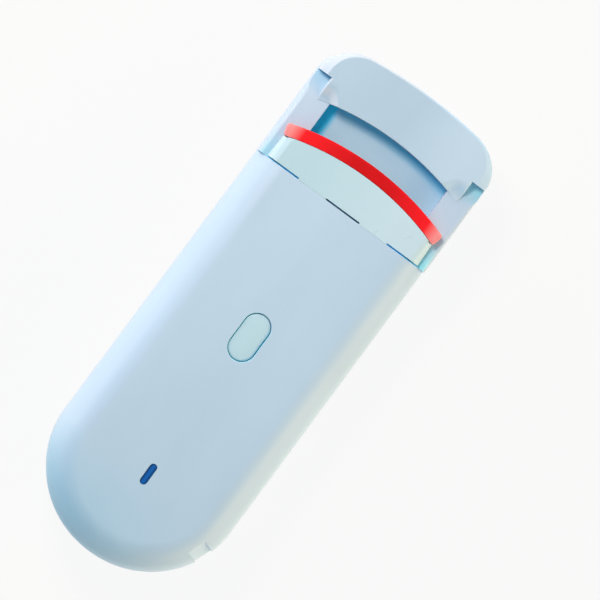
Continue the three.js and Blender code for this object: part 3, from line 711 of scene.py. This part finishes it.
def coated_plate():
    """The heater plate: aluminium under a satin blue coat, with a painted teal shadow along its left and top
    edges, where the window's wall and the cap's edge shade it.
    """
    n = Nodes("heater_coat")
    cloud = n.noise(160.0, 4.0, 0.55)
    light = n.mix(n.spread(cloud), rgb(172, 213, 236), rgb(178, 217, 239))
    # painted shadow: a teal band along the left edge and, below the cap's edge, along the top
    left = n.along("X", -10.6, -11.8)
    drop = n.product(n.axis("X"), n.axis("X"), 500 / CLAMP_RADIUS)
    rim = n.math("ADD", n.axis("Y"), drop)
    upper = n.ramp(rim, (CAP_EDGE - 2.2) * 0.001, (CAP_EDGE - 0.2) * 0.001)
    painted_shadow = n.math("MAXIMUM", left, n.product(upper, 0.7))
    base = n.mix(painted_shadow, light, rgb(30, 190, 235))
    gloss = n.spread(cloud, 0.42, 0.54)
    fine = n.bump(n.cells(Scale=2300.0), 0.00002, 0.3)
    # painted glow in the same shadow band, in teal
    painted_glow = n.product(n.math("MAXIMUM", left, n.product(upper, 0.5)), 0.12)
    return n.set(
        Base_Color=base,
        Roughness=gloss,
        Normal=fine,
        Emission_Color=rgb(20, 150, 200),
        Emission_Strength=painted_glow,
    )


def tinted_lens():
    n = Nodes("lens_tint")
    base = n.mix(n.aside(0.0, LENS_HALF), rgb(30, 104, 186), rgb(14, 58, 126))
    gloss = n.spread(n.noise(600.0, 3.0), 0.08, 0.16)
    fine = n.bump(n.noise(1500.0, 2.0), 0.000006, 0.3)
    return n.set(Base_Color=base, Roughness=gloss, Normal=fine, Coat_Weight=0.6, Coat_Roughness=0.05)


def circuit_green():
    """Solder mask over tracks, with a grid of plated holes."""
    n = Nodes("solder_mask")
    track = n.add(
        "ShaderNodeTexBrick",
        Vector=n.place,
        Scale=260.0,
        Mortar_Size=0.06,
        Color1=rgb(24, 92, 62),
        Color2=rgb(20, 80, 55),
        Mortar=rgb(36, 120, 82),
    )
    hole = n.ramp(n.cells(Scale=420.0, Randomness=0.25), 0.1, 0.13, 1.0, 0.0)
    base = n.mix(hole, track.outputs["Color"], rgb(196, 170, 100))
    gloss = n.spread(n.noise(500.0), 0.3, 0.45)
    fine = n.bump(track.outputs["Fac"], 0.00002, 0.5)
    return n.set(Base_Color=base, Roughness=gloss, Normal=fine)


def foam():
    n = Nodes("open_foam")
    pore = n.cells(Scale=1500.0)
    base = n.mix(n.ramp(pore, 0.0, 0.6), rgb(48, 50, 54), rgb(96, 99, 104))
    return n.set(Base_Color=base, Roughness=0.95, Normal=n.bump(pore, 0.0001, 0.8))


shell_blue = casing_painted_shade(moulded("shell_blue", rgb(182, 209, 229), 0.4, 0.5))
arm_blue = painted_gap_glow_and_shade(moulded("arm_blue", rgb(184, 208, 230), 0.42, 0.5))
cap_blue = moulded("cap_blue", rgb(182, 209, 229), 0.4, 0.5)
# painted shade on the cap's left face and painted light on its right face; then a painted highlight on its left
# rims, bluer rims on its right
painted_side_light(cap_blue, 0, 12, (0.885, 0.9, 0.905), (1.06, 1.04, 1.02))
painted_side_light(cap_blue, -10, 10, (1.2, 1.05, 0.98), (0.99, 1.06, 1.1), 0.0, 1.0)
mint = moulded("mint", rgb(188, 220, 231), 0.3, 0.3, coat=0.25, spread=0.012, ripple=0.06)
# painted shade on the jaw plate's left and painted light on its right
painted_side_light(mint, -9, 9, (0.91, 0.93, 0.935), (1.08, 1.02, 1.02))
button_mint = moulded("button_mint", rgb(184, 217, 229), 0.34, 0.3, coat=0.2, spread=0.012, ripple=0.06)
grip_blue = moulded("grip_blue", rgb(140, 178, 200), 0.78, 1.6, spread=0.05)
nylon = moulded("acetal", rgb(236, 238, 238), 0.46, 0.6)
black_resin = moulded("black_resin", rgb(28, 29, 32), 0.5, 1.0, spread=0.15)
ceramic = moulded("ceramic", rgb(240, 238, 230), 0.6, 1.2)
lead_red = moulded("lead_red", rgb(190, 36, 42), 0.5, 0.8)
lead_black = moulded("lead_black", rgb(34, 35, 38), 0.5, 0.8, spread=0.1)
red_silicone = silicone()
heater_coat = coated_plate()
lens_tint = tinted_lens()
solder_mask = circuit_green()
open_foam = foam()
steel = metal("steel", rgb(196, 198, 202), 0.28)
gold = metal("gold", rgb(226, 186, 104), 0.24)
cell_film = metal("cell_film", rgb(176, 180, 186), 0.38, (0.3, 1.0, 1.0), 420.0)


# ---- casing

FRONT_ROUND = (6.0, 6.5)
REAR_ROUND = 5.0


def button_outline(grow):
    reach = BUTTON_LONG / 2
    return stadium(BUTTON_HALF + grow, BUTTON_Y - reach - grow, BUTTON_Y + reach + grow)


def lens_outline(grow):
    reach = LENS_LONG / 2
    return stadium(LENS_HALF + grow, LENS_Y - reach - grow, LENS_Y + reach + grow)


def front_rings(inset, end, z0, top, across, deep, rim=0.0):
    """The casing's straight wall and its front edge, rounded as a quarter of an ellipse."""
    steps = []
    if rim:
        steps = [(inset + rim, z0), (inset + rim * 0.3, z0 + rim * 0.3)]
    steps.append((inset, z0 + rim))
    for t in quarter_turn(16):
        steps.append((inset + across * (1 - math.cos(t)), top - deep * (1 - math.sin(t))))
    return levels(lambda i: casing_outline(i, end), steps)


def port_tool():
    outline = rectangle(-4.67, 4.67, PORT_Z - 1.8, PORT_Z + 1.8, 1.7)
    return loft("tool", [[(x, y, z) for x, z in outline] for y in (TAIL - 3, TAIL + 8)])


STRAP_TURN = math.radians(-21)
strap_place = Matrix.Translation((17.5, -40.6, 0)) @ Matrix.Rotation(STRAP_TURN, 4, "Z")


def strap_tools():
    slot = block(-3, 4, -1.8, 1.8, 9.5, 13.7, strap_place)
    tilt = Matrix.Translation((-0.7, 0, 14.9)) @ Matrix.Rotation(-0.42, 4, "Y")
    facet = block(0, 8, -1.9, 1.9, -6, 6, strap_place @ tilt)
    x, y = (strap_low.x + strap_high.x) / 2, (strap_low.y + strap_high.y) / 2
    socket = rod("z", 0.64, x, y, strap_low.z - 0.05, strap_high.z + 0.05)
    return [slot, facet, socket]


def strap_block(low, high):
    piece = block(-4.6, 1.0, -3.5, 3.5, low, high, strap_place)
    return common(piece, straight(casing_outline(0.8, 0), 0, 30))


def front_shell():
    outer = loft("casing_front", front_rings(0, SEAM, SHELL_BACK, FRONT, *FRONT_ROUND, 0.16), ladder=True)
    bevel_where(outer, lambda p: abs(p.y - SEAM) < 0.01 and p.z > SHELL_BACK + 0.3, 0.04, 2)
    inner_round = [r - 1 for r in FRONT_ROUND]
    inner = loft("tool", front_rings(WALL, SEAM + 14, -12, FRONT - WALL, *inner_round), ladder=True)
    cut(outer, inner)
    ceiling = FRONT - WALL + 0.3
    posts, holes = [], []
    for at in CASING_SCREWS:
        posts += screw_rods(2, at, 10.7, ceiling)
        holes += screw_rods(PILOT, at, 9, 16.2)
    for y in (-25, -2):
        posts += rod_pair("z", 0.9, 9.2, y, 15.45, ceiling)
    posts += block_pair(ROD_X - 1.7, ROD_X + 1.7, 3.6, 6.6, ROD_Z - 1.6, ceiling)
    posts.append(strap_block(SHELL_BACK, 16))
    join(outer, *posts)
    holes += rod_pair("y", ROD_HOLE, ROD_X, ROD_Z, 4, 8)
    holes.append(opening_tool(button_outline(BUTTON_FIT), 15, FRONT, 0.18))
    holes.append(opening_tool(lens_outline(LENS_FIT), 15, FRONT, 0.05))
    return cut(outer, *holes, port_tool(), *strap_tools())


def rear_face(y):
    return max(0.0, math.tan(SLOPE) * (y - PIVOT_Y))


def rear_base(y):
    along = y - PIVOT_Y
    return math.tan(SLOPE) * (along + math.sqrt(along * along + 2.0)) / 2


on_slope = (
    Matrix.Translation((0, PIVOT_Y, 0))
    @ Matrix.Rotation(SLOPE, 4, "X")
    @ Matrix.Translation((0, -PIVOT_Y, 0))
)


def rear_rings(inset, end, lift, across, deep, top):
    rings = []
    for t in quarter_turn(12):
        gap, rise = inset + across * (1 - math.sin(t)), lift + deep * (1 - math.cos(t))
        rings.append([(x, y, rear_base(y) + rise) for x, y in casing_outline(gap, end)])
    rings.append([(x, y, top) for x, y in casing_outline(inset, end)])
    return rings


def on_outer_rim(p):
    """True along the rear shell's outer edge where it meets the front shell."""
    along = min(0.0, p.y - TAIL_CENTRE) / TAIL_RISE
    return p.z > PARTING - 0.01 and p.y < SEAM - 0.1 and math.hypot(p.x / HALF, along) > 0.97


LEVER_HALF, LEVER_CORNER = 11.0, 5.0
LEVER_Y0, LEVER_Y1 = -44.0, 17.5
WELL_FIT, WELL_DEPTH, WELL_FLOOR = 0.4, 2.7, 1.2
EAR_IN, EAR_OUT, EAR_RADIUS = 7.9, 9.9, 2.2
WEDGE_IN, WEDGE_OUT = 5.0, 9.0


def rear_shell():
    outer = loft("casing_rear", rear_rings(0, SEAM, 0, REAR_ROUND, REAR_ROUND, 30), ladder=True)
    cut(outer, block(-30, 30, -60, 60, PARTING, 40))
    bevel_where(outer, on_outer_rim, 0.14)
    inner_round = REAR_ROUND - 1.2
    inner = loft("tool", rear_rings(WALL, SEAM + 14, WALL, inner_round, inner_round, 44), ladder=True)
    cut(outer, inner)
    grow = WELL_FIT + 1.4
    wide = LEVER_HALF + grow
    outline = rectangle(-wide, wide, LEVER_Y0 - 1.9, LEVER_Y1 + 2.1, 5.5)
    tub = straight(outline, 0.35, WELL_DEPTH + WELL_FLOOR, on_slope)
    kept_round = REAR_ROUND - 0.3
    keep = loft("tool", rear_rings(0.3, SEAM - 0.3, 0.3, kept_round, kept_round, 30), ladder=True)
    join(tub, *block_pair(11.6, 15, PIVOT_Y - 2.2, PIVOT_Y + 2.2, 1.2, PIVOT_Z + 2.2))
    common(tub, keep)
    parts = [tub, strap_block(8, PARTING)]
    for at in CASING_SCREWS:
        parts += screw_rods(2.2, at, rear_face(at[1]) + 1, PARTING - 0.1)
    join(outer, *parts)
    fit = LEVER_HALF + WELL_FIT
    well = rectangle(-fit, fit, LEVER_Y0 - 0.5, LEVER_Y1 + 0.7, LEVER_CORNER)
    tools = [opening_tool(well, -WELL_DEPTH, 0, 0.35, on_slope @ FLIPPED)]
    tools += block_pair(WEDGE_IN - 0.4, WEDGE_OUT + 0.4, 3.2, LEVER_Y1 + 0.4, 0, 12)
    tools += block_pair(EAR_IN - 0.3, EAR_OUT + 0.3, PIVOT_Y - 2.9, PIVOT_Y + 2.9, 0, 9)
    tools.append(rod("x", 1.03, PIVOT_Y, PIVOT_Z, -14.6, 14.6))
    for at, deep in [(CASING_SCREWS[0], 1.5), (CASING_SCREWS[1], 1.5), (FRAME_SCREW, 1.0)]:
        tools += screw_rods(CLEARANCE, at, -2, 12)
        tools += screw_rods(SCREW_SEAT, at, -2, rear_face(at[1]) + deep)
    return cut(outer, *tools, *strap_tools())


# ---- head


def head_frame():
    body = slab("head_frame_body", head_outline(0, SEAM - 6), FRAME_BACK, FRAME_FRONT, 0.15, 1.0, 8)
    cut(body, block(-30, 30, -30, SEAM + GAP, 0, 40))
    fit = WALL + 0.2
    inside = loft("tool", front_rings(fit, SEAM + 9, -12, FRONT - fit, 5.2, 5.7), ladder=True)
    below = loft("tool", rear_rings(fit, SEAM + 14, fit, 4.2, 4.2, 44), ladder=True)
    half, start, end_wall, back = 17, 20, 23.6, 8.1
    root = block(-half, half, start, SEAM - GAP, back, 11.6)
    join(root, block(-half, half, end_wall, SEAM - GAP, back, LEG_FRONT - 0.1))
    join(root, block(-half, half, end_wall, SEAM + 1, FRAME_BACK + GAP, FRAME_FRONT - 1))
    common(root, inside, below)
    join(body, root)
    edge = arc_points(CLAMP_RADIUS, CAP_EDGE, WINDOW, -WINDOW)
    window = [(WINDOW, SILL), *edge, (-WINDOW, SILL)]
    tools = [
        opening_tool(window, 0, FRAME_FRONT, 0.12),
        block(-WINDOW, WINDOW, SEAM - 1.95, SILL + 0.1, SILL_FRONT, 25),
        *block_pair(LEG_INNER - 0.2, LEG_OUTER + 0.2, 15, SEAM + 2, 15.4, 25),
        block(-15, 15, SILL - 1.6, CAP_EDGE + 1.4, 0, HEATER_SEAT),
        block(-4, 4, 19, SILL, 9.8, 12.4),
        notch_floor(1),
        notch_floor(-1),
        *rod_pair("y", ROD_HOLE, ROD_X, ROD_Z, 20, 25.1),
        *screw_rods(PILOT, FRAME_SCREW, 7, 11.2),
        *screw_rods(CLEARANCE, HEAD_SCREW, 0, 30),
    ]
    return cut(body, *tools)


def notch_floor(side):
    """What is cut away so that the frame's face beside the tongue slopes down towards the cap."""
    long, deep = 4.4, 1.4
    low, high = NOTCH - long, NOTCH
    profile = [(low, FRAME_FRONT + 0.01), (high, FRAME_FRONT - deep), (high, 25.0), (low, 25.0)]
    return loft("tool", [[(side * x, y, z) for y, z in profile] for x in (TONGUE, HALF + 1)])


def head_cap():
    piece = dome("head_cap_panel", head_outline(0, SEAM + 8), cap_low.z, CAP_FRONT, 1.9, 0.4)
    edge = arc_points(CLAMP_RADIUS, CAP_EDGE, -TONGUE - 1, TONGUE + 1)
    below = [(TONGUE + 1, SEAM), (-TONGUE - 1, SEAM)]
    arch = straight((edge + below)[::-1], 0, 40)
    cut(piece, arch, *block_pair(TONGUE, HALF + 5, SEAM, NOTCH, 0, 40))
    lower_edge = lambda p: p.z > CAP_FRONT - 0.01 and abs(p.x) < TONGUE - 0.3 and p.y < NOTCH
    bevel_where(piece, lower_edge, 0.1, 2)
    return cut(piece, tongue_slope(1), tongue_slope(-1), *screw_rods(PILOT, HEAD_SCREW, 10, 18.4))


def tongue_slope(side):
    """What is cut away so that the cap's lower corner beside the window runs down to the arm.

    It also rounds the tongue's side edge.
    """
    inner, round_off, length, low = 9.6, 0.34, 4.2, cap_low.z + 0.05
    columns = [inner + (TONGUE - round_off - inner) * i / 14 for i in range(15)]
    columns += [TONGUE - round_off + round_off * i / 8 for i in range(1, 9)] + [TONGUE + 0.6]
    rings = []
    for x in columns:
        start = CAP_EDGE - arc_drop(CLAMP_RADIUS, min(x, TONGUE))
        spread = length * smooth((15.4 - x) / (15.4 - inner - 0.4))
        past = min(1.0, max(0.0, (x - TONGUE + round_off) / round_off))
        drop = round_off * (1 - math.sqrt(1 - past * past))
        ring = []
        for j in range(29):
            y = start - 1 + (NOTCH - start + 1) * j / 28
            share = smooth((y - start + spread) / length)
            ring.append((y, low + (CAP_FRONT + 0.002 - low) * share - drop))
        ring += [(NOTCH, 25.0), (start - 1, 25.0)]
        rings.append([(side * x, y, z) for y, z in ring])
    return loft("tool", rings)


def smooth(share):
    share = max(0.0, min(1.0, share))
    return share**3 * (10 - 15 * share + 6 * share**2)


def head_back():
    across, deep, rim = 4, 2.7, 0.1
    turns = quarter_turn(10)
    steps = [(across * (1 - math.sin(t)), back_low.z + deep * (1 - math.cos(t))) for t in turns]
    steps += [(0, back_high.z - rim), (rim, back_high.z)]
    piece = loft("head_back_panel", levels(lambda i: head_outline(i, back_low.y), steps))
    bevel_where(piece, lambda p: abs(p.y - back_low.y) < 0.01 and p.z < back_high.z - 2 * rim, 0.2)
    pocket = block(-14.6, 14.6, SEAM + 4, CAP_EDGE + 1, 7.9, 12)
    holes = screw_rods(CLEARANCE, HEAD_SCREW, 0, 12)
    return cut(piece, pocket, *holes, *screw_rods(1.75, HEAD_SCREW, 0, back_low.z + 1))


# ---- jaw


def jaw_plate():
    half, top_half = plate_high.x, 16.9
    low = SEAM + 0.3
    edge = arc_points(JAW_RADIUS, JAW_TOP, top_half, -top_half)
    outline = [(half, low), *edge, (-half, low)]
    sides = lambda z: half - quarter(z, JAW_BACK, FRONT, 2.1, 0.985)
    piece = slab("jaw_panel", outline, JAW_BACK, FRONT, 0.1, 0.05, 3, sides)
    legs = block_pair(LEG_INNER, LEG_OUTER, plate_low.y, SILL, LEG_BACK, LEG_FRONT)
    tabs = block_pair(LEG_INNER, LEG_OUTER, SEAM + 0.015, low + 0.5, JAW_BACK, FRONT - 0.01)
    join(piece, *legs, *tabs)
    at = (7, 11.5)
    holes = screw_rods(0.75, at, 14, 20)
    return cut(piece, rib(0.08, 1.4), *holes, *screw_rods(1.5, at, 17.1, 20))


def rib(grow, depth):
    half = 15.2 + grow
    over = arc_points(JAW_RADIUS + 0.6, JAW_TOP + 0.6, half, -half)
    under = arc_points(JAW_RADIUS - depth, JAW_TOP - depth, -half, half)
    return straight(over + under, 18.6 - grow, 19.4 + grow)


def silicone_pad():
    """The pad, swept along its arc, with soft corners and softly rounded slanting ends."""
    z0, z1 = pad_low.z, pad_high.z
    corners = [(z1, PAD_HEIGHT, 0.5), (z0, PAD_HEIGHT, 0.3), (z0, 0, 0.3), (z1, 0, 0.1)]
    section = rounded(corners, 6)
    middle = Vector(((z0 + z1) / 2, PAD_HEIGHT / 2))
    steps, soft = 72, 0.5
    ends = [(soft * (1 - math.sin(t)), soft * (1 - math.cos(t))) for t in quarter_turn(6)]
    stations = [(-1, *end) for end in ends]
    stations += [(-1 + 2 * k / steps, 0.0, 0.0) for k in range(1, steps)]
    stations += [(1, *end) for end in reversed(ends)]
    rings = []
    for share, shrink, back in stations:
        ring = []
        for z, v in section:
            depth, height = z, v
            if shrink:
                depth, height = middle + (Vector((z, v)) - middle) * (1 - shrink / 1.25)
            part = height / PAD_HEIGHT
            half = 17.0 + 0.65 * part
            x = share * (half - back)
            low = JAW_TOP + 0.05 - arc_drop(JAW_RADIUS, x)
            high = PAD_TOP - arc_drop(CLAMP_RADIUS, x)
            ring.append((x, low + (high - low) * part, depth))
        rings.append(ring)
    piece = loft("lash_pad", rings)
    return join(piece, rib(0, 1.25))


# ---- lever


def before_turn(y, z):
    dy, dz = y - PIVOT_Y, z - PIVOT_Z
    c, s = math.cos(SLOPE), math.sin(SLOPE)
    return Vector((PIVOT_Y + dy * c + dz * s, PIVOT_Z - dy * s + dz * c))


def wedge(x0, x1):
    start, end = Vector((10.0, 11.6)), before_turn(16.0, 11.6)
    run = (end - start).normalized()
    away = Vector((run.y, -run.x)) * 1.5
    high, low = start + away - run * 1.1, end + away + run
    corners = [
        (high.x - 2.6, 1.5),
        (low.x, 1.5),
        (low.x, low.y),
        (high.x, high.y, 0.4),
        (high.x - 2.6, high.y, 0.4),
    ]
    outline = rounded(corners, 5)
    place = Matrix(((0, 0, 1, 0), (1, 0, 0, 0), (0, 1, 0, 0), (0, 0, 0, 1)))
    return slab("tool", outline, x0, x1, 0.15, 0.15, 3, place=place)


def press_lever():
    outline = rectangle(-LEVER_HALF, LEVER_HALF, LEVER_Y0, LEVER_Y1, LEVER_CORNER, 12)
    piece = slab("lever_body", outline, 0, 2.2, 0.9, 0.25, 7)
    parts = [wedge(WEDGE_IN, WEDGE_OUT), wedge(-WEDGE_OUT, -WEDGE_IN)]
    for x0, x1 in ((EAR_IN, EAR_OUT), (-EAR_OUT, -EAR_IN)):
        parts.append(rod("x", EAR_RADIUS, PIVOT_Y, PIVOT_Z, x0, x1))
        parts.append(block(x0, x1, PIVOT_Y - 2, PIVOT_Y + 2, 1.8, PIVOT_Z))
    join(piece, *parts)
    low, high = grip_low, grip_high
    recess = rectangle(low.x - 0.1, high.x + 0.1, low.y - 0.1, high.y + 0.1, 3.6, 12)
    bore = rod("x", 1.06, PIVOT_Y, PIVOT_Z, -20, 20)
    return cut(piece, opening_tool(recess, -0.8, 0, 0.12, FLIPPED), bore)


def lever_grip():
    low, high = grip_low, grip_high
    outline = rectangle(low.x, high.x, low.y, high.y, 3.5, 12)
    piece = slab("grip_pad", outline, 0.3, 0.75, 0.12, 0.02, 3)
    outlines = [rectangle(-5.4, 5.4, -11 + 2.5 * k, -9.9 + 2.5 * k, 0.54, 8) for k in range(9)]
    return join(piece, *[slab("tool", outline, 0.1, 0.5, 0.18, 0.0, 3) for outline in outlines])


# ---- button, lens and screws


def power_button():
    rim, crown = 0.38, 0.09
    edge, shoulder = button_high.z - 0.45, button_high.z - crown
    steps = [(0.0, 17.6)]
    steps += [(rim * (1 - math.cos(t)), edge + 0.36 * math.sin(t)) for t in quarter_turn(6)]
    steps += [(rim + 1.9 * k / 6, shoulder + crown * math.sin(math.pi / 2 * k / 6)) for k in range(1, 6)]
    piece = loft("button_cap", levels(lambda i: button_outline(-i), steps))
    flange = slab("tool", button_outline(0.9), 17.55, 18.3, 0.05, 0.05, 2)
    return join(piece, flange, rod("z", 1, 0, BUTTON_Y, 17.2, 17.8))


def indicator_lens():
    piece = slab("lens_body", lens_outline(0), 17.4, lens_high.z, 0.02, 0.12, 4)
    return join(piece, slab("tool", lens_outline(0.8), 17.4, 18.35, 0.02, 0.02, 2))


def port_ring(inset, y):
    half_x, half_z = (port_high.x - port_low.x) / 2 - inset, (port_high.z - port_low.z) / 2 - inset
    outline = rectangle(-half_x, half_x, -half_z, half_z, half_z - 0.05)
    return [(x, y, PORT_Z + z) for x, z in outline]


def usb_can():
    """The socket's drawn steel shell, with a rolled mouth and a rounded back."""
    mouth, end = port_low.y, port_high.y
    outside = [(0.1, mouth), (0.03, mouth + 0.03), (0, mouth + 0.1)]
    outside += [(0, end - 0.3), (0.1, end - 0.1), (0.3, end)]
    inside = [(0.1, mouth - 1), (0.2, mouth), (0.27, mouth + 0.05), (0.3, mouth + 0.15)]
    inside.append((0.3, end - 0.8))
    can = loft("usb_can", [port_ring(inset, y) for inset, y in outside])
    return cut(can, loft("tool", [port_ring(inset, y) for inset, y in inside]))


def usb_tongue():
    """The black tongue in the middle of the socket."""
    y0, y1, half, thick = port_low.y + 1, port_high.y - 0.8, 3.35, 0.35
    steps = [(0.16, y0), (0.04, y0 + 0.12), (0, y0 + 0.3), (0, y1)]
    rings = []
    for inset, y in steps:
        outline = rectangle(-half + inset, half - inset, -thick + inset, thick - inset, 0.12)
        rings.append([(x, y, PORT_Z + z) for x, z in outline])
    return loft("usb_tongue", rings)


def usb_contacts():
    """Twelve gold strips on each face of the tongue."""
    y0, y1, thick, pitch = port_low.y + 1.5, port_low.y + 4.6, 0.35, 0.5
    strips = []
    for face in (1, -1):
        for k in range(12):
            x = (k - 5.5) * pitch
            heights = sorted((PORT_Z + face * (thick + 0.01), PORT_Z + face * (thick + 0.05)))
            strips.append(block(x - 0.13, x + 0.13, y0, y1, *heights))
    return together("usb_contacts", strips)


def screw(node, name):
    """A pan-head screw with a crosshead recess, as long as its CAD node."""
    low, high = span(node)
    x, y = (low.x + high.x) / 2, (low.y + high.y) / 2
    head, shank, height = 1.6, 0.62, 0.9
    profile = [(0.12, 0.0), (0.7, 0.03), (1.15, 0.13), (1.42, 0.28), (1.56, 0.46), (head, 0.62)]
    profile += [(head, height - 0.04), (head - 0.04, height), (shank, height)]
    turns = int((high.z - low.z - height - 0.6) / 0.5)
    for k in range(turns):
        z = height + 0.1 + 0.5 * k
        profile += [(shank - 0.08, z), (shank + 0.02, z + 0.2)]
        profile += [(shank + 0.02, z + 0.28), (shank - 0.08, z + 0.45)]
    profile += [(shank - 0.1, high.z - low.z - 0.4), (0.05, high.z - low.z)]
    piece = turned(name, "z", x, y, [(r, low.z + h) for r, h in profile], 40)
    tools = []
    for wide, deep in ((0.92, 0.2), (0.2, 0.92)):
        bar = lambda k: rectangle(x - wide * k, x + wide * k, y - deep * k, y + deep * k)
        steps = [(1, low.z - 0.5), (1, low.z + 0.05), (0.55, low.z + 0.58)]
        tools.append(loft("tool", levels(bar, steps)))
    return cut(piece, *tools)


finish_piece(front_shell(), "casing", shell_blue, "shell_blue", "front_shell")
finish_piece(rear_shell(), "casing", shell_blue, "shell_blue", "rear_shell")
finish_piece(head_frame(), "casing", arm_blue, "shell_blue", "head_frame")
finish_piece(head_cap(), "casing", cap_blue, "shell_blue", "head_cap")
finish_piece(head_back(), "casing", shell_blue, "shell_blue", "head_back_cover")
finish_piece(jaw_plate(), "jaw", mint, "mint", "jaw_plate", angle=12)
finish_piece(silicone_pad(), "jaw", red_silicone, "silicone_red", "silicone_pad")
finish_piece(press_lever(), "lever", shell_blue, "shell_blue", "press_lever")
finish_piece(lever_grip(), "lever", grip_blue, "grip_blue", "lever_grip")
finish_piece(power_button(), "button", button_mint, "mint", "power_button")
finish_piece(indicator_lens(), "casing", lens_tint, "lens_blue", "indicator_lens")

finish_piece(usb_can(), "casing", steel, "steel", "usb_port")
finish_piece(usb_tongue(), "casing", black_resin, "chip_black")
finish_piece(usb_contacts(), "casing", gold, "steel")

for node in sorted(n for n in nodes if "_screw_" in n and not n.startswith("jaw")):
    finish_piece(screw(node, node + "_fine"), "casing", steel, "steel", node)

kept = {
    "steel": steel,
    "heater_blue": heater_coat,
    "nylon": nylon,
    "board_green": solder_mask,
    "chip_black": black_resin,
    "cell_silver": cell_film,
    "ceramic": ceramic,
    "foam_grey": open_foam,
    "lead_red": lead_red,
    "lead_black": lead_black,
}
for part in frame["record"]["subparts"]:
    if part["material_slot"] in kept:
        mesh = nodes[part["node"]].data
        mesh.materials.clear()
        mesh.materials.append(kept[part["material_slot"]])


# ---- floor, light and camera


def ground():
    """A pale floor, clear from beneath."""
    mesh = bpy.data.meshes.new("floor")
    far, low = 20.0, -0.0001
    corners = [(-far, -far, low), (far, -far, low), (far, far, low), (-far, far, low)]
    mesh.from_pydata(corners, [], [(0, 1, 2, 3)])
    floor = added("floor", mesh)
    n = Nodes("pale_floor")
    base = n.mix(n.noise(6.0, 3.0), (0.055, 0.055, 0.055, 1), (0.065, 0.065, 0.065, 1))
    n.set(
        Base_Color=base,
        Roughness=0.9,
        Specular_IOR_Level=0.0,
        Emission_Color=(1, 1, 1, 1),
        Emission_Strength=0.898,
    )
    side = n.tree.nodes.new("ShaderNodeNewGeometry").outputs["Backfacing"]
    clear = n.tree.nodes.new("ShaderNodeBsdfTransparent").outputs[0]
    blend = n.tree.nodes.new("ShaderNodeMixShader")
    n.tree.links.new(side, blend.inputs[0])
    n.tree.links.new(n.shader.outputs[0], blend.inputs[1])
    n.tree.links.new(clear, blend.inputs[2])
    n.tree.links.new(blend.outputs[0], n.tree.nodes["Material Output"].inputs[0])
    mesh.materials.append(n.material)


def key_light():
    """A small soft lamp above the head, on its left."""
    data = bpy.data.lights.new("key", "AREA")
    data.shape = "DISK"
    data.size = 0.09
    data.energy = 0.56
    data.color = (0.98, 0.79, 0.7)
    lamp = added("key", data)
    towards = Vector((-0.55, 0.42, 1.0)).normalized()
    lamp.location = towards * 0.3
    lamp.rotation_mode = "QUATERNION"
    lamp.rotation_quaternion = towards.to_track_quat("Z", "Y")
    lamp.visible_camera = False


def sky():
    """A studio round the object: cool and dim above, white from its left, cream from its right.

    A mirrored view of the level parts is dimmer, and the camera sees the pale backdrop alone.
    """
    bpy.context.scene.world = bpy.data.worlds.new("studio")
    n = Nodes()

    def towards(axis, start, end):
        return n.ramp(n.axis(axis), start, end, course="SMOOTHSTEP")

    low = towards("Z", 0.72, 0.28)
    left = n.product(towards("X", -0.3, -0.9), towards("Y", -0.45, 0.3), low)
    right = n.product(towards("X", 0.4, 0.9), low)
    shade = n.mix(towards("Y", -0.9, 0.6), SKY_TAIL, SKY_HEAD)
    shade = n.mix(left, shade, SKY_LEFT)
    shade = n.mix(right, shade, SKY_RIGHT)
    mirrored = n.output("ShaderNodeLightPath", "Is Glossy Ray")
    shade = n.mix(n.product(mirrored, towards("Z", 0.36, 0.2)), shade, SKY_LEVEL)
    shade = n.mix(towards("Z", 0.0, -0.05), shade, BACKDROP)
    shade = n.mix(n.output("ShaderNodeLightPath", "Is Camera Ray"), shade, BACKDROP)
    n.feed(n.tree.nodes["Background"], "Color", shade)


SKY_TAIL = (0.0, 0.19, 0.32, 1)
SKY_HEAD = (0.10, 0.26, 0.36, 1)
SKY_LEFT = (5.4, 4.5, 4.1, 1)
SKY_RIGHT = (4.9, 3.5, 2.1, 1)
SKY_LEVEL = (1.1, 1.1, 1.1, 1)
BACKDROP = (0.9, 0.9, 0.9, 1)

ground()
sky()
key_light()

ROLL = math.radians(36.5)
LEAN = math.radians(3.6)
FIELD = 0.1111
LENS = 300.0
AIM = Vector((0.0040, 0.00809, (FRONT / 2) * 0.001))

camera_data = bpy.data.cameras.new("camera")
camera_data.lens = LENS
camera_data.clip_start = 0.01
camera_data.clip_end = 20.0
camera = added("camera", camera_data)
back = Vector((-math.sin(LEAN), 0, math.cos(LEAN)))
up = Vector((-math.sin(ROLL), math.cos(ROLL), 0))
up = (up - back * up.dot(back)).normalized()
right = up.cross(back)
turn = Matrix((right, up, back)).transposed()
camera.rotation_mode = "QUATERNION"
camera.rotation_quaternion = turn.to_quaternion()
camera.location = AIM + back * (FIELD * LENS / camera_data.sensor_width)
bpy.context.scene.camera = camera
bpy.context.scene.view_settings.view_transform = "Standard"
